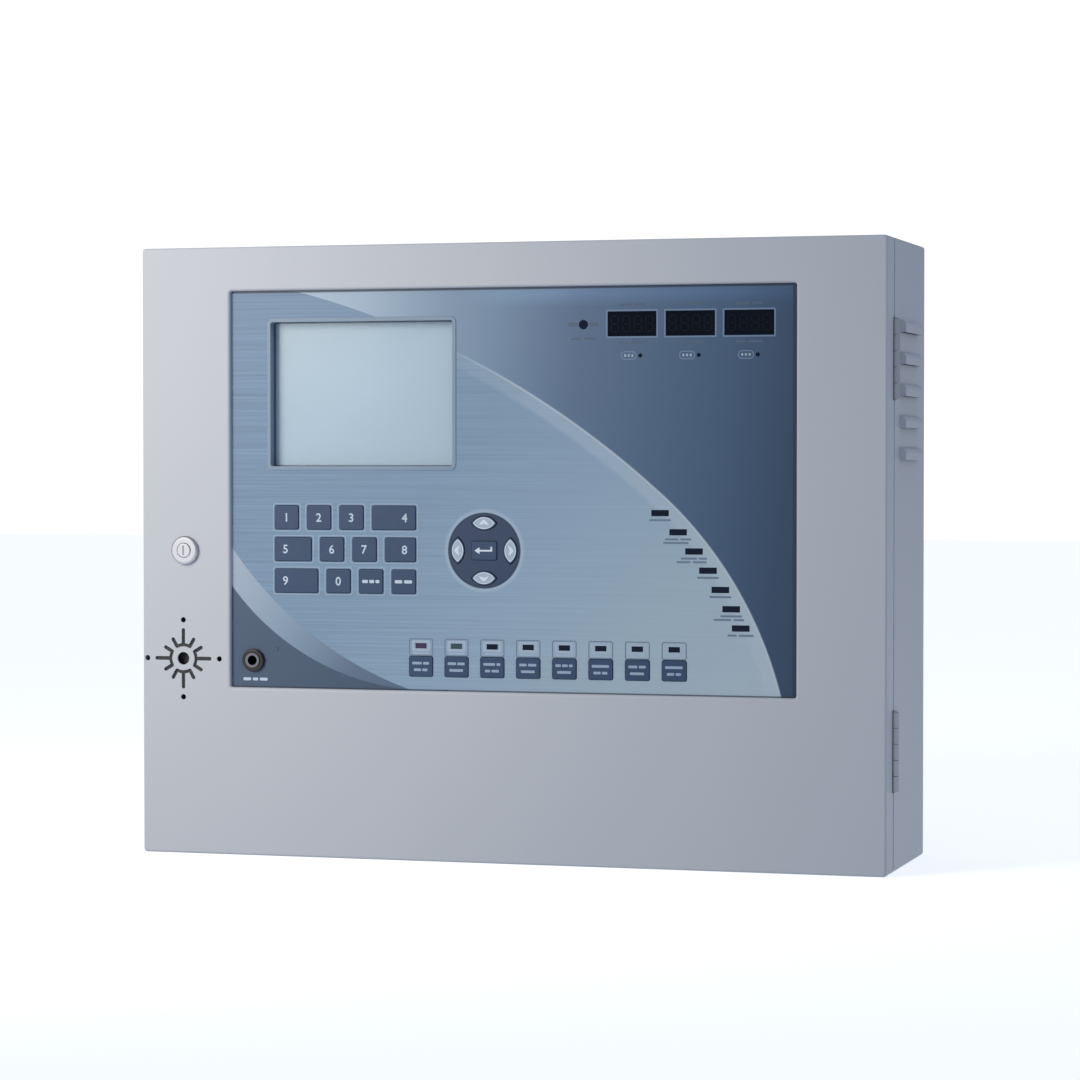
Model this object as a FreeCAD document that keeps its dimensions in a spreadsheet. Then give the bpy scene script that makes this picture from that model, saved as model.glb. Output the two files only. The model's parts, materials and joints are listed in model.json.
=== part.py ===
import FreeCAD, Part
import math
import os
import Sketcher

# Wall-mounted fire alarm control panel: a folded steel box, a hinged door that carries the
# display and the keys, and the electronics and batteries inside.
# Frame: X to the right, Y into the wall, Z up. The origin is the centre of the wall-fixing
# holes on the back face, so the wall is Y = 0 and the front of the door is Y = -depth.

doc = FreeCAD.newDocument("fire_alarm_control_panel")
sheet = doc.addObject("Spreadsheet::Sheet", "Sizes")
V = FreeCAD.Vector


# ---------------------------------------------------------------- sizes

class Size:
    """A length held as a number and as the expression that works it out from the sheet."""

    def __init__(self, value, text):
        self.value = value
        self.text = text

    def __add__(self, other):
        other = as_size(other)
        return Size(self.value + other.value, f"({self.text} + {other.text})")

    def __sub__(self, other):
        other = as_size(other)
        return Size(self.value - other.value, f"({self.text} - {other.text})")

    def __mul__(self, factor):
        factor = as_size(factor)
        return Size(self.value * factor.value, f"({self.text} * {factor.text})")

    def __truediv__(self, divisor):
        divisor = as_size(divisor)
        return Size(self.value / divisor.value, f"({self.text} / {divisor.text})")

    def __neg__(self):
        return Size(-self.value, f"(0 - {self.text})")

    __radd__ = __add__
    __rmul__ = __mul__

    def __rsub__(self, other):
        return as_size(other) - self


def as_size(number):
    if isinstance(number, Size):
        return number
    number = float(number)
    return Size(number, f"{number:.6f}" if number >= 0 else f"(0 - {-number:.6f})")


def cell(name, value):
    """Adds a driving size to the sheet."""
    row = len(sheet_rows) + 1
    sheet_rows.append(name)
    sheet.set(f"A{row}", name)
    sheet.set(f"B{row}", str(value))
    sheet.setAlias(f"B{row}", name)
    return Size(float(value), f"Sizes.{name}")


sheet_rows = []

# Box and door
WIDTH = cell("width", 500)
HEIGHT = cell("height", 400)
DEPTH = cell("depth", 130)
STEEL = cell("steel", 1.5)
DOOR_FLANGE = cell("door_flange", 23)
SEAM = cell("seam", 2)
LIP = cell("box_lip", 14)
FOLD = cell("fold_radius", 2)
CORNER = cell("corner_radius", 1.5)
LIP_CORNER = cell("lip_corner", 3)

# Window in the door, by its margins to the door's edges
WINDOW_LEFT = cell("window_left", 62)
WINDOW_RIGHT = cell("window_right", 57.5)
WINDOW_TOP = cell("window_top", 29)
WINDOW_BOTTOM = cell("window_bottom", 110.5)
WINDOW_FLANGE = cell("window_flange", 3.5)
WINDOW_FOLD = cell("window_fold", 1.8)
OVERLAP = cell("overlay_overlap", 3)
FILM = cell("film", 0.5)
PLATE = cell("plate", 1.5)
PLATE_MARGIN = cell("plate_margin", 15)
PLATE_SIDE = cell("plate_side", 5)
GAP = cell("moving_gap", 0.3)
FIT = cell("fixed_fit", 0.2)
THROUGH = cell("cut_through", 1)
WINDOW_STUD = cell("stud_radius", 2)
STUD_SHOULDER = cell("stud_shoulder", 3.5)
STUD_LONG = cell("stud_long", 5)
STUD_IN = cell("stud_from_window_side", 28)
STUD_OUT = cell("stud_from_window_end", 8.5)
STUD_NUT = cell("stud_nut", 7)
STUD_NUT_THICK = cell("stud_nut_thick", 3.2)
PLATE_CORNER = cell("plate_corner", 3)

# Keys
KEY_PROUD = cell("key_proud", 0.8)
KEY_TRAVEL = cell("key_travel", 0.5)
KEY_FLANGE = cell("key_flange", 1.2)
KEY_STEM = cell("key_stem", 1.2)
KEY_HIGH = cell("key_high", 15.5)
KEY_SMALL = cell("key_small", 16.5)
KEY_SPACE = cell("key_space", 6)
KEY_PITCH = cell("key_pitch", 20.75)
KEY_BLOCK = cell("key_block", 97.5)
KEY_CORNER = cell("key_corner", 1.2)
FUNCTION_WIDE = cell("function_wide", 16)
FUNCTION_HIGH = cell("function_high", 13)
FUNCTION_PITCH = cell("function_pitch", 24.2)
ARROW_LONG = cell("arrow_long", 17)
ARROW_SHORT = cell("arrow_short", 9)
ARROW_REACH = cell("arrow_reach", 17.75)
ENTER_WIDE = cell("enter_wide", 17)
ENTER_HIGH = cell("enter_high", 12)
SWITCH_HIGH = cell("switch_high", 4.3)
SWITCH_WIDE = cell("switch_wide", 6)
SWITCH_CAP = cell("switch_cap_radius", 1.75)
SWITCH_CAP_PROUD = cell("switch_cap_proud", 0.8)
STEM = cell("stem_radius", 1.5)
FLANGE_THICK = cell("key_flange_thick", 1)

# Places of the keys, from the edges of the window
KEYS_LEFT = cell("keys_from_left", 30.5)
KEYS_UP = cell("keys_from_bottom", 62.8)
KEY_MIDDLE = cell("key_middle", 25.5)
PAD_LEFT = cell("arrows_from_left", 174.5)
PAD_UP = cell("arrows_from_bottom", 91.2)
FUNCTION_RIGHT = cell("functions_from_right", 249)
FUNCTION_UP = cell("functions_from_bottom", 15.8)

# Displays and lamps
LCD_WIDE = cell("lcd_wide", 125.5)
LCD_HIGH = cell("lcd_high", 94.5)
LCD_RECESS = cell("lcd_recess", 6)
LCD_PANE = cell("lcd_pane", 1.5)
MODULE_WIDE = cell("module_wide", 167)
MODULE_HIGH = cell("module_high", 109)
MODULE_DEEP = cell("module_deep", 10)
BEZEL_RIM = cell("bezel_rim", 2.5)
BEZEL_WALL = cell("bezel_wall", 1)
DIGIT_WIDE = cell("digit_wide", 32)
DIGIT_HIGH = cell("digit_high", 15.8)
DIGIT_PITCH = cell("digit_pitch", 38.2)
LAMP_WIDE = cell("lamp_wide", 11.5)
LAMP_HIGH = cell("lamp_high", 4)
LAMP_STEP = cell("lamp_step", 12.1)
LAMP_ARC = cell("lamp_arc", 247.8)
ARC_RIGHT = cell("lamp_arc_from_right", 260)
ARC_DOWN = cell("lamp_arc_below", 63.4)
LAMPS_UP = cell("lamps_from_bottom", 115.9)
FUNCTION_LAMP_WIDE = cell("function_lamp_wide", 7.5)
FUNCTION_LAMP_HIGH = cell("function_lamp_high", 3.5)
FUNCTION_LAMP_UP = cell("function_lamps_from_bottom", 29.2)
BELL = cell("bell_lamp_radius", 3)
BELL_RIGHT = cell("bell_lamp_from_right", 139.6)
BELL_DOWN = cell("bell_lamp_from_top", 24.5)
ICON = cell("icon_lamp_radius", 1.3)
ICON_SHIFT = cell("icon_lamp_shift", 5.5)
ICON_DOWN = cell("icon_lamps_from_top", 44.5)
POWER = cell("power_lamp_radius", 1.5)
POWER_RIGHT = cell("power_lamp_right_of_jack", 16)
POWER_UP = cell("power_lamp_above_jack", 7.5)
LAMP_SUNK = cell("lamp_sunk", 0.1)
ROUND_PROUD = cell("round_lamp_proud", 0.3)
DIGITS_RIGHT = cell("digits_from_right", 107.5)
DIGITS_DOWN = cell("digits_from_top", 24.3)
DIGIT_SUNK = cell("digit_sunk", 0.2)
LCD_LEFT = cell("lcd_from_left", 27.5)
LCD_DOWN = cell("lcd_from_top", 20.5)
RIM_PROUD = cell("bezel_proud", 0.5)
PANE_MARGIN = cell("pane_margin", 3)
PANE_CORNER = cell("pane_corner", 1)
GLASS_SUNK = cell("glass_sunk", 0.4)
GLASS_MARGIN = cell("glass_margin", 0.5)
BOARD = cell("board", 1.6)
BOARD_EDGE = cell("board_edge", 2)
BOARD_STEP = cell("board_step", 4)
BOARD_HOLE = cell("board_hole", 1.7)
STANDOFF = cell("standoff", 5.5)
STANDOFF_SIDE = cell("standoff_from_side", 10)
STANDOFF_EDGE = cell("standoff_from_edge", 8)
STANDOFF_LOW = cell("standoff_low", 46)
STANDOFF_HIGH = cell("standoff_high", 127)
STANDOFF_RIGHT_HIGH = cell("standoff_right_high", 130)
STANDOFF_MIDDLE = cell("standoff_middle", 140)
STANDOFF_PAD = cell("standoff_by_arrows", 152)
STANDOFF_PAD_UP = cell("standoff_by_arrows_up", 90)
STANDOFF_TOP = cell("standoff_from_top", 9)
BOARD_SCREW = cell("board_screw_radius", 1.5)
BOARD_HEAD = cell("board_screw_head", 2.8)
BOARD_HEAD_HIGH = cell("board_screw_head_high", 2)
LCD_SPACER = cell("lcd_spacer_radius", 3)
LCD_SPACER_SIDE = cell("lcd_spacer_from_side", 5)
LCD_SPACER_END = cell("lcd_spacer_from_end", 4)

# Door fittings
JACK_BORE = cell("jack_bore", 3.2)
JACK_NECK = cell("jack_neck", 4.8)
JACK_NUT = cell("jack_nut_radius", 7.5)
JACK_DEEP = cell("jack_deep", 28)
JACK_WIDE = cell("jack_wide", 16)
JACK_HIGH = cell("jack_high", 18)
JACK_LEFT = cell("jack_from_left", 15.5)
JACK_UP = cell("jack_from_bottom", 18)
JACK_PROUD = cell("jack_proud", 3.5)
JACK_WALL = cell("jack_wall", 2)
JACK_NUT_THICK = cell("jack_nut_thick", 2.6)
LOCK_LEFT = cell("lock_from_left", 30.5)
LOCK_UP = cell("lock_from_bottom", 200.5)
LOCK_BARREL = cell("lock_barrel", 8)
LOCK_RIM = cell("lock_rim", 1.5)
LOCK_ROUND = cell("lock_head_round", 1.8)
LOCK_NUT_RIM = cell("lock_nut_rim", 3)
LOCK_NUT_THICK = cell("lock_nut_thick", 4)
PLUG_PROUD = cell("plug_proud", 0.6)
PLUG_SQUARE = cell("plug_square", 6)
KEYWAY_WIDE = cell("keyway_wide", 1.2)
KEYWAY_HIGH = cell("keyway_high", 6.4)
KEYWAY_DEEP = cell("keyway_deep", 0.8)
LOCK_PLUG = cell("lock_plug_radius", 5)
LOCK_PROUD = cell("lock_proud", 3)
CAM_REACH = cell("cam_reach", 24)
CAM_THICK = cell("cam_thick", 2)
CAM_HALF = cell("cam_half", 7)
CAM_SCREW = cell("cam_screw_radius", 4.5)
CAM_SCREW_HIGH = cell("cam_screw_high", 2.2)
CAM_BEHIND_LIP = cell("cam_behind_lip", 0.2)
RUNNING = cell("running_fit", 0.05)
GRILLE_LEFT = cell("grille_from_left", 28.8)
GRILLE_UP = cell("grille_from_bottom", 129)
GRILLE_HOLE = cell("grille_hole", 4.2)
GRILLE_RAY = cell("grille_ray", 1.25)
GRILLE_START = cell("grille_ray_start", 9.25)
GRILLE_LONG = cell("grille_long_ray", 18.75)
GRILLE_SHORT = cell("grille_short_ray", 14.5)
GRILLE_DOT = cell("grille_dot", 1.8)
GRILLE_DOT_OUT = cell("grille_dot_out", 25.5)
GRILLE_ARC_IN = cell("grille_arc_inner", 7.9)
GRILLE_ARC_OUT = cell("grille_arc_outer", 10.1)
SOUNDER = cell("sounder_radius", 22)
SOUNDER_DEEP = cell("sounder_deep", 12)
SOUNDER_ROUND = cell("sounder_round", 2)
SOUNDER_PORT = cell("sounder_port", 6)
SOUNDER_PORT_DEEP = cell("sounder_port_deep", 5)

# Hinges
KNUCKLE = cell("knuckle_radius", 3)
PIN = cell("pin_radius", 1.5)
HINGE_LONG = cell("hinge_long", 50)
HINGE_END = cell("hinge_from_end", 51.5)
HINGE_OUT = cell("hinge_out", 0.5)
LEAF_DEEP = cell("leaf_deep", 16)
LEAF = cell("leaf", 1.5)
SEGMENT_GAP = cell("segment_gap", 0.4)
KNUCKLE_CLEAR = cell("knuckle_clear", 0.8)
NOTCH_CLEAR = cell("notch_clear", 0.5)
NOTCH_END = cell("notch_end", 1)
PIN_HEAD = cell("pin_head", 2.4)
PIN_HEAD_HIGH = cell("pin_head_high", 0.8)
PIN_OVER = cell("pin_over", 0.2)
PIN_UNDER = cell("pin_under", 0.5)

# Inside the box
CHASSIS_OFF = cell("chassis_off_wall", 10)
CHASSIS_SIDE = cell("chassis_side", 20)
CHASSIS_TOP = cell("chassis_top", 35)
CHASSIS_BOTTOM = cell("chassis_bottom", 108)
CHASSIS_FOLD = cell("chassis_fold", 6)
SPACER = cell("spacer", 8)
MAIN_WIDE = cell("main_board_wide", 215)
MAIN_HIGH = cell("main_board_high", 170)
SUPPLY_WIDE = cell("supply_wide", 98)
SUPPLY_HIGH = cell("supply_high", 129)
SUPPLY_DEEP = cell("supply_deep", 38)
BATTERY_WIDE = cell("battery_wide", 151)
BATTERY_HIGH = cell("battery_high", 94)
BATTERY_DEEP = cell("battery_deep", 65)
ENTRY_HOLE = cell("entry_hole", 10.25)
ENTRY_BORE = cell("entry_bore", 7.5)
ENTRY_PITCH = cell("entry_pitch", 90)
FIXING_HOLE = cell("fixing_hole", 3.5)
FIXING_SIDE = cell("fixing_from_side", 50)
FIXING_END = cell("fixing_from_end", 22)
LOUVRE_LONG = cell("louvre_long", 60)
LOUVRE_PITCH = cell("louvre_pitch", 20.2)
LOUVRE_OUT = cell("louvre_out", 4)
LOUVRE_SKIN = cell("louvre_skin", 1.2)
LOUVRE_FRONT = cell("louvre_from_front", 43)
LOUVRE_DOWN = cell("louvre_from_top", 59)
ENTRY_OUT = cell("entry_from_wall", 45)
GROMMET_LIP = cell("grommet_lip", 2.5)
GROMMET_THICK = cell("grommet_thick", 2)
CHASSIS_CORNER = cell("chassis_corner", 3)
CHASSIS_FOLD_END = cell("chassis_fold_end", 10)
SCREW_IN = cell("screw_from_edge", 6)
CHASSIS_HOLE = cell("chassis_hole", 2.2)
CHASSIS_SCREW = cell("chassis_screw_radius", 2)
CHASSIS_PILLAR = cell("chassis_pillar", 8)
CHASSIS_HEAD = cell("chassis_screw_head", 4)
CHASSIS_HEAD_HIGH = cell("chassis_screw_head_high", 2.4)
SLOT_DEEP = cell("screw_slot_deep", 1)
SLOT_WIDE = cell("screw_slot_wide", 1)
SLOT_LONG = cell("screw_slot_long", 6)
BOARD_SLOT_WIDE = cell("board_screw_slot_wide", 0.8)
BOARD_SLOT_LONG = cell("board_screw_slot_long", 4.4)
BOARD_SLOT_DEEP = cell("board_screw_slot_deep", 0.8)
MAIN_SPACER = cell("main_spacer", 6)
MAIN_HEAD = cell("main_screw_head", 3)
MAIN_MARGIN = cell("main_board_margin", 12)
MAIN_CORNER = cell("main_board_corner", 2)
SUPPLY_MARGIN = cell("supply_margin", 14)

# Parts on the main board, each by its place from the board's left and top edges
RELAY_LEFT = cell("relay_left", 20)
RELAY_DOWN = cell("relay_down", 52)
RELAY_PITCH = cell("relay_pitch", 24)
RELAY_WIDE = cell("relay_wide", 19)
RELAY_HIGH = cell("relay_high", 15)
RELAY_DEEP = cell("relay_deep", 15)
FUSE_LEFT = cell("fuse_left", 122)
FUSE_DOWN = cell("fuse_down", 60)
FUSE_PITCH = cell("fuse_pitch", 12)
FUSE_WIDE = cell("fuse_wide", 7)
FUSE_HIGH = cell("fuse_high", 24)
FUSE_DEEP = cell("fuse_deep", 3)
FUSE_TUBE = cell("fuse_tube", 2.6)
FUSE_TUBE_OUT = cell("fuse_tube_out", 4.5)
FUSE_TUBE_END = cell("fuse_tube_end", 2)
CAN_LEFT = cell("capacitor_left", 26)
CAN_DOWN = cell("capacitor_down", 76)
CAN_PITCH = cell("capacitor_pitch", 16)
CAN = cell("capacitor_radius", 5)
CAN_DEEP = cell("capacitor_deep", 16)
SINK_LEFT = cell("heat_sink_left", 84)
SINK_DOWN = cell("heat_sink_down", 92)
SINK_WIDE = cell("heat_sink_wide", 32)
SINK_HIGH = cell("heat_sink_high", 22)
SINK_BASE = cell("heat_sink_base", 4)
SINK_DEEP = cell("heat_sink_deep", 18)
FIN = cell("heat_sink_fin", 2)
FIN_PITCH = cell("heat_sink_fin_pitch", 6)
CHIP_LEFT = cell("processor_left", 132)
CHIP_DOWN = cell("processor_down", 100)
CHIP_WIDE = cell("processor_wide", 20)
CHIP_DEEP = cell("processor_deep", 1.8)
MEMORY_LEFT = cell("memory_left", 164)
MEMORY_DOWN = cell("memory_down", 96)
MEMORY_WIDE = cell("memory_wide", 24)
MEMORY_HIGH = cell("memory_high", 12)
MEMORY_DEEP = cell("memory_deep", 3)
HEADER_LEFT = cell("header_left", 60)
HEADER_DOWN = cell("header_down", 118)
HEADER_PITCH = cell("header_pitch", 14)
HEADER_WIDE = cell("header_wide", 52)
HEADER_HIGH = cell("header_high", 8)
HEADER_DEEP = cell("header_deep", 9)
COIN_LEFT = cell("coin_cell_left", 176)
COIN_DOWN = cell("coin_cell_down", 120)
COIN = cell("coin_cell_radius", 10)
COIN_DEEP = cell("coin_cell_deep", 3.4)
BLOCK_LEFT = cell("terminal_left", 20)
BLOCK_PITCH = cell("terminal_block_pitch", 45)
BLOCK_DOWN = cell("terminal_down", 26)
BLOCK_UP = cell("terminal_up", 14)
BLOCK_HIGH = cell("terminal_high", 11)
BLOCK_DEEP = cell("terminal_deep", 14)
WAY = cell("terminal_way", 5.08)
WAY_HOLE = cell("terminal_hole", 1.6)
WAY_HOLE_DEEP = cell("terminal_hole_deep", 3)

# Power supply and mains terminals
SUPPLY_SKIN = cell("supply_skin", 1)
SUPPLY_SPACE = cell("supply_board_space", 5)
SUPPLY_SIDE = cell("supply_board_side", 2)
SUPPLY_FOOT = cell("supply_board_foot", 2)
SUPPLY_HEAD = cell("supply_board_head", 3)
VENT_LEFT = cell("vent_left", 16.5)
VENT_DOWN = cell("vent_down", 20)
VENT_WIDE = cell("vent_wide", 9)
VENT_HIGH = cell("vent_high", 3)
VENT_PITCH = cell("vent_pitch", 13)
VENT_ROW = cell("vent_row", 9)
ACCESS_SIDE = cell("supply_access_side", 8)
ACCESS_HIGH = cell("supply_access_high", 18)
TRANSFORMER_LEFT = cell("transformer_left", 30)
TRANSFORMER_UP = cell("transformer_up", 52)
TRANSFORMER_WIDE = cell("transformer_wide", 30)
TRANSFORMER_HIGH = cell("transformer_high", 34)
TRANSFORMER_DEEP = cell("transformer_deep", 24)
BULK_LEFT = cell("bulk_capacitor_left", 16)
BULK_UP = cell("bulk_capacitor_up", 44)
BULK_PITCH = cell("bulk_capacitor_pitch", 24)
BULK = cell("bulk_capacitor_radius", 9)
BULK_DEEP = cell("bulk_capacitor_deep", 26)
OUTPUT_LEFT = cell("output_capacitor_left", 74)
OUTPUT_UP = cell("output_capacitor_up", 46)
OUTPUT = cell("output_capacitor_radius", 6)
OUTPUT_DEEP = cell("output_capacitor_deep", 20)
COIL_LEFT = cell("coil_left", 66)
COIL_UP = cell("coil_up", 62)
COIL_WIDE = cell("coil_wide", 20)
COIL_DEEP = cell("coil_deep", 16)
STRIP_SIDE = cell("supply_terminal_side", 8)
STRIP_HIGH = cell("supply_terminal_high", 12)
STRIP_DEEP = cell("supply_terminal_deep", 14)
STRIP_FIRST = cell("supply_terminal_first", 5)
STRIP_PITCH = cell("supply_terminal_pitch", 9.4)
STRIP_HOLE = cell("supply_terminal_hole", 2)
STRIP_HOLE_DEEP = cell("supply_terminal_hole_deep", 3)
MAINS_LEFT = cell("mains_left", 10)
MAINS_DOWN = cell("mains_down", 34)
MAINS_WIDE = cell("mains_wide", 44)
MAINS_HIGH = cell("mains_high", 22)
MAINS_DEEP = cell("mains_deep", 20)
HOLDER_LEFT = cell("fuse_holder_left", 4)
HOLDER_WIDE = cell("fuse_holder_wide", 10)
HOLDER_END = cell("fuse_holder_end", 3)
HOLDER_PROUD = cell("fuse_holder_proud", 7)
MAINS_FIRST = cell("mains_first", 20)
MAINS_PITCH = cell("mains_pitch", 9)
MAINS_HOLE = cell("mains_hole", 2.4)
MAINS_HOLE_DEEP = cell("mains_hole_deep", 6)

# Batteries, their strap and the earth stud
BATTERY_GAP = cell("battery_gap", 3)
BATTERY_OFF = cell("battery_off_wall", 1)
BATTERY_CORNER = cell("battery_corner", 3)
LID = cell("battery_lid", 12)
GROOVE_DEEP = cell("battery_groove_deep", 0.8)
GROOVE_HIGH = cell("battery_groove_high", 1)
TAB_IN = cell("battery_tab_in", 12)
TAB_WIDE = cell("battery_tab_wide", 4.8)
TAB_THICK = cell("battery_tab_thick", 0.8)
TAB_BACK = cell("battery_tab_back", 10)
TAB_HIGH = cell("battery_tab_high", 6)
STRAP_CLEAR = cell("strap_clear", 0.5)
STRAP_FOOT = cell("strap_foot", 16)
STRAP_HIGH = cell("strap_high", 20)
STRAP_UP = cell("strap_up", 50)
STRAP_NUT = cell("strap_nut", 7)
STRAP_NUT_THICK = cell("strap_nut_thick", 3.2)
STRAP_STUD = cell("strap_stud_past", 6)
EARTH_LEFT = cell("earth_from_left", 36)
EARTH_UP = cell("earth_from_bottom", 66)
EARTH = cell("earth_radius", 3)
EARTH_LONG = cell("earth_long", 22)
EARTH_WASHER = cell("earth_washer_radius", 6)
EARTH_FIRST = cell("earth_first_washer", 3)
EARTH_SECOND = cell("earth_second_washer", 1.6)
EARTH_NUT = cell("earth_nut", 10)
EARTH_NUT_THICK = cell("earth_nut_thick", 5)

doc.recompute()

LEFT = -WIDTH / 2
RIGHT = WIDTH / 2
BOTTOM = -HEIGHT / 2
TOP = HEIGHT / 2

WIN_X0 = LEFT + WINDOW_LEFT
WIN_X1 = RIGHT - WINDOW_RIGHT
WIN_Z0 = BOTTOM + WINDOW_BOTTOM
WIN_Z1 = TOP - WINDOW_TOP

# Depths are counted from the door's front face, as Y = -DEPTH + value.
FILM_FRONT = WINDOW_FLANGE
PLATE_FRONT = FILM_FRONT + FILM
PLATE_BACK = PLATE_FRONT + PLATE
FLANGE_FRONT = PLATE_BACK + GAP
STEM_END = FLANGE_FRONT + FLANGE_THICK + KEY_STEM
BOARD_FRONT = STEM_END + KEY_TRAVEL + GAP + SWITCH_HIGH
BOARD_BACK = BOARD_FRONT + BOARD
PANE_FRONT = FILM_FRONT + LCD_RECESS
MODULE_FRONT = PANE_FRONT + LCD_PANE
BOX_FRONT = DOOR_FLANGE + SEAM
LIP_BACK = BOX_FRONT + STEEL


def front(distance):
    """Y of a plane that lies a distance behind the door's front face."""
    return as_size(distance) - DEPTH


# ---------------------------------------------------------------- sketch and feature helpers

def bind(thing, place, length):
    """Ties one property or constraint of an object to the sheet."""
    thing.setExpression(place, as_size(length).text)


def labelled(thing, name):
    thing.Label = name
    return thing


def body(name):
    return labelled(doc.addObject("PartDesign::Body", "Body_" + name), name)


def place(thing, x=0, y=0, z=0):
    """Sets and ties the position of a sub-part."""
    spot = [as_size(v) for v in (x, y, z)]
    thing.Placement.Base = V(*(v.value for v in spot))
    for axis, value in zip("xyz", spot):
        bind(thing, f"Placement.Base.{axis}", value)


def sketch(owner, role="XZ_Plane", y=0, at=None, turn=0):
    """Opens a sketch. On XZ its plane lies at Y = y and its normal points to -Y."""
    plane = next(f for f in owner.Origin.OriginFeatures if f.Role == role)
    result = owner.newObject("Sketcher::SketchObject", "Sketch")
    result.AttachmentSupport = [(plane, "")]
    result.MapMode = "FlatFace"
    if turn:
        result.AttachmentOffset = FreeCAD.Placement(V(0, 0, 0), FreeCAD.Rotation(V(0, 0, 1), turn))
    offset = -as_size(y) if role == "XZ_Plane" else as_size(y)
    bind(result, "AttachmentOffset.Base.z", offset)
    if at is not None:
        bind(result, "AttachmentOffset.Base.x", at[0])
        bind(result, "AttachmentOffset.Base.y", at[1])
    return result


def fixed(kind, geometry, point, value):
    """Constraint that fixes a coordinate of a sketch point, or a radius, with its size."""
    value = as_size(value)
    if value.text == "0.000000":
        axis = -2 if kind == "DistanceX" else -1
        return Sketcher.Constraint("PointOnObject", geometry, point, axis), None
    if kind == "Radius":
        return Sketcher.Constraint(kind, geometry, value.value), value
    return Sketcher.Constraint(kind, -1, 1, geometry, point, value.value), value


def joined(edge, point, other, other_point):
    return Sketcher.Constraint("Coincident", edge, point, other, other_point), None


def constrain(drawing, pairs):
    """Adds constraints in one step and ties those that come with a size."""
    indices = drawing.addConstraint([constraint for constraint, _ in pairs])
    for index, (_, value) in zip(indices, pairs):
        if value is not None:
            bind(drawing, f"Constraints[{index}]", value)


def arc_between(start, end, radius):
    """Minor arc from start to end; a positive radius turns to the left."""
    chord = end - start
    half = chord.Length / 2
    rise = math.sqrt(max(radius * radius - half * half, 0))
    side = V(-chord.y, chord.x, 0).normalize() * (1 if radius > 0 else -1)
    centre = start + chord / 2 + side * rise
    middle = centre - side * abs(radius)
    return Part.Arc(start, middle, end)


def outline(drawing, corners):
    """Closed outline. A corner is (x, z), or (x, z, radius) where an arc leads on from it."""
    count = len(corners)
    spots = [V(as_size(c[0]).value, as_size(c[1]).value, 0) for c in corners]
    edges = []
    for k, corner in enumerate(corners):
        start, end = spots[k], spots[(k + 1) % count]
        if len(corner) == 3:
            curve = arc_between(start, end, as_size(corner[2]).value)
        else:
            curve = Part.LineSegment(start, end)
        edge = drawing.addGeometry(curve)
        starts_first = (drawing.getPoint(edge, 1) - start).Length < (drawing.getPoint(edge, 2) - start).Length
        edges.append((edge, 1, 2) if starts_first else (edge, 2, 1))
    pairs = []
    for k, corner in enumerate(corners):
        edge, start, end = edges[k]
        following, following_start, _ = edges[(k + 1) % count]
        pairs.append(joined(edge, end, following, following_start))
        pairs.append(fixed("DistanceX", edge, start, corner[0]))
        pairs.append(fixed("DistanceY", edge, start, corner[1]))
        if len(corner) == 3:
            radius = as_size(corner[2])
            pairs.append(fixed("Radius", edge, 0, radius if radius.value > 0 else -radius))
    constrain(drawing, pairs)
    return drawing


def rectangle(drawing, x0, x1, z0, z1, radius=None):
    x0, x1, z0, z1 = (as_size(v) for v in (x0, x1, z0, z1))
    if radius is None:
        return outline(drawing, [(x0, z0), (x1, z0), (x1, z1), (x0, z1)])
    r = as_size(radius)
    return outline(drawing, [
        (x0 + r, z0), (x1 - r, z0, r), (x1, z0 + r), (x1, z1 - r, r),
        (x1 - r, z1), (x0 + r, z1, r), (x0, z1 - r), (x0, z0 + r, r)])


def centred(drawing, wide, high, radius=None, x=0, z=0):
    wide, high, x, z = (as_size(v) for v in (wide, high, x, z))
    return rectangle(drawing, x - wide / 2, x + wide / 2, z - high / 2, z + high / 2, radius)


def circle(drawing, radius, x=0, z=0):
    x, z, radius = as_size(x), as_size(z), as_size(radius)
    edge = drawing.addGeometry(Part.Circle(V(x.value, z.value, 0), V(0, 0, 1), radius.value))
    constrain(drawing, [fixed("DistanceX", edge, 3, x), fixed("DistanceY", edge, 3, z),
                        fixed("Radius", edge, 0, radius)])
    return drawing


def slot(drawing, x0, x1, radius):
    """Round-ended slot along the sketch's horizontal axis, by the centres of its ends."""
    x0, x1, radius = as_size(x0), as_size(x1), as_size(radius)
    r = radius.value
    ends = [V(x0.value, 0, 0), V(x1.value, 0, 0)]
    upper = drawing.addGeometry(Part.LineSegment(ends[0] + V(0, r, 0), ends[1] + V(0, r, 0)))
    lower = drawing.addGeometry(Part.LineSegment(ends[0] - V(0, r, 0), ends[1] - V(0, r, 0)))
    for point, (centre, x) in enumerate(zip(ends, (x0, x1)), start=1):
        turn = math.pi / 2 if point == 1 else -math.pi / 2
        full = Part.Circle(centre, V(0, 0, 1), r)
        arc = drawing.addGeometry(Part.ArcOfCircle(full, turn, turn + math.pi))
        first, second = (upper, lower) if point == 1 else (lower, upper)
        constrain(drawing, [
            joined(arc, 1, first, point), joined(arc, 2, second, point),
            fixed("DistanceX", arc, 3, x), fixed("DistanceY", arc, 3, 0),
            fixed("Radius", arc, 0, radius),
            fixed("DistanceX", arc, 1, x), fixed("DistanceX", arc, 2, x)])
    return drawing


def lens(drawing, long, short, upright=False, x=0, z=0):
    """Two equal arcs that meet in points."""
    long, short, x, z = (as_size(v) for v in (long, short, x, z))
    radius = (long * long / 4 + short * short / 4) / short
    if upright:
        ends = [(x, z - long / 2, radius), (x, z + long / 2, radius)]
    else:
        ends = [(x - long / 2, z, radius), (x + long / 2, z, radius)]
    return outline(drawing, ends)


def pad(owner, drawing, length, backwards=False):
    feature = owner.newObject("PartDesign::Pad", "Pad")
    feature.Profile = drawing
    bind(feature, "Length", length)
    feature.Reversed = backwards
    return feature


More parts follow.
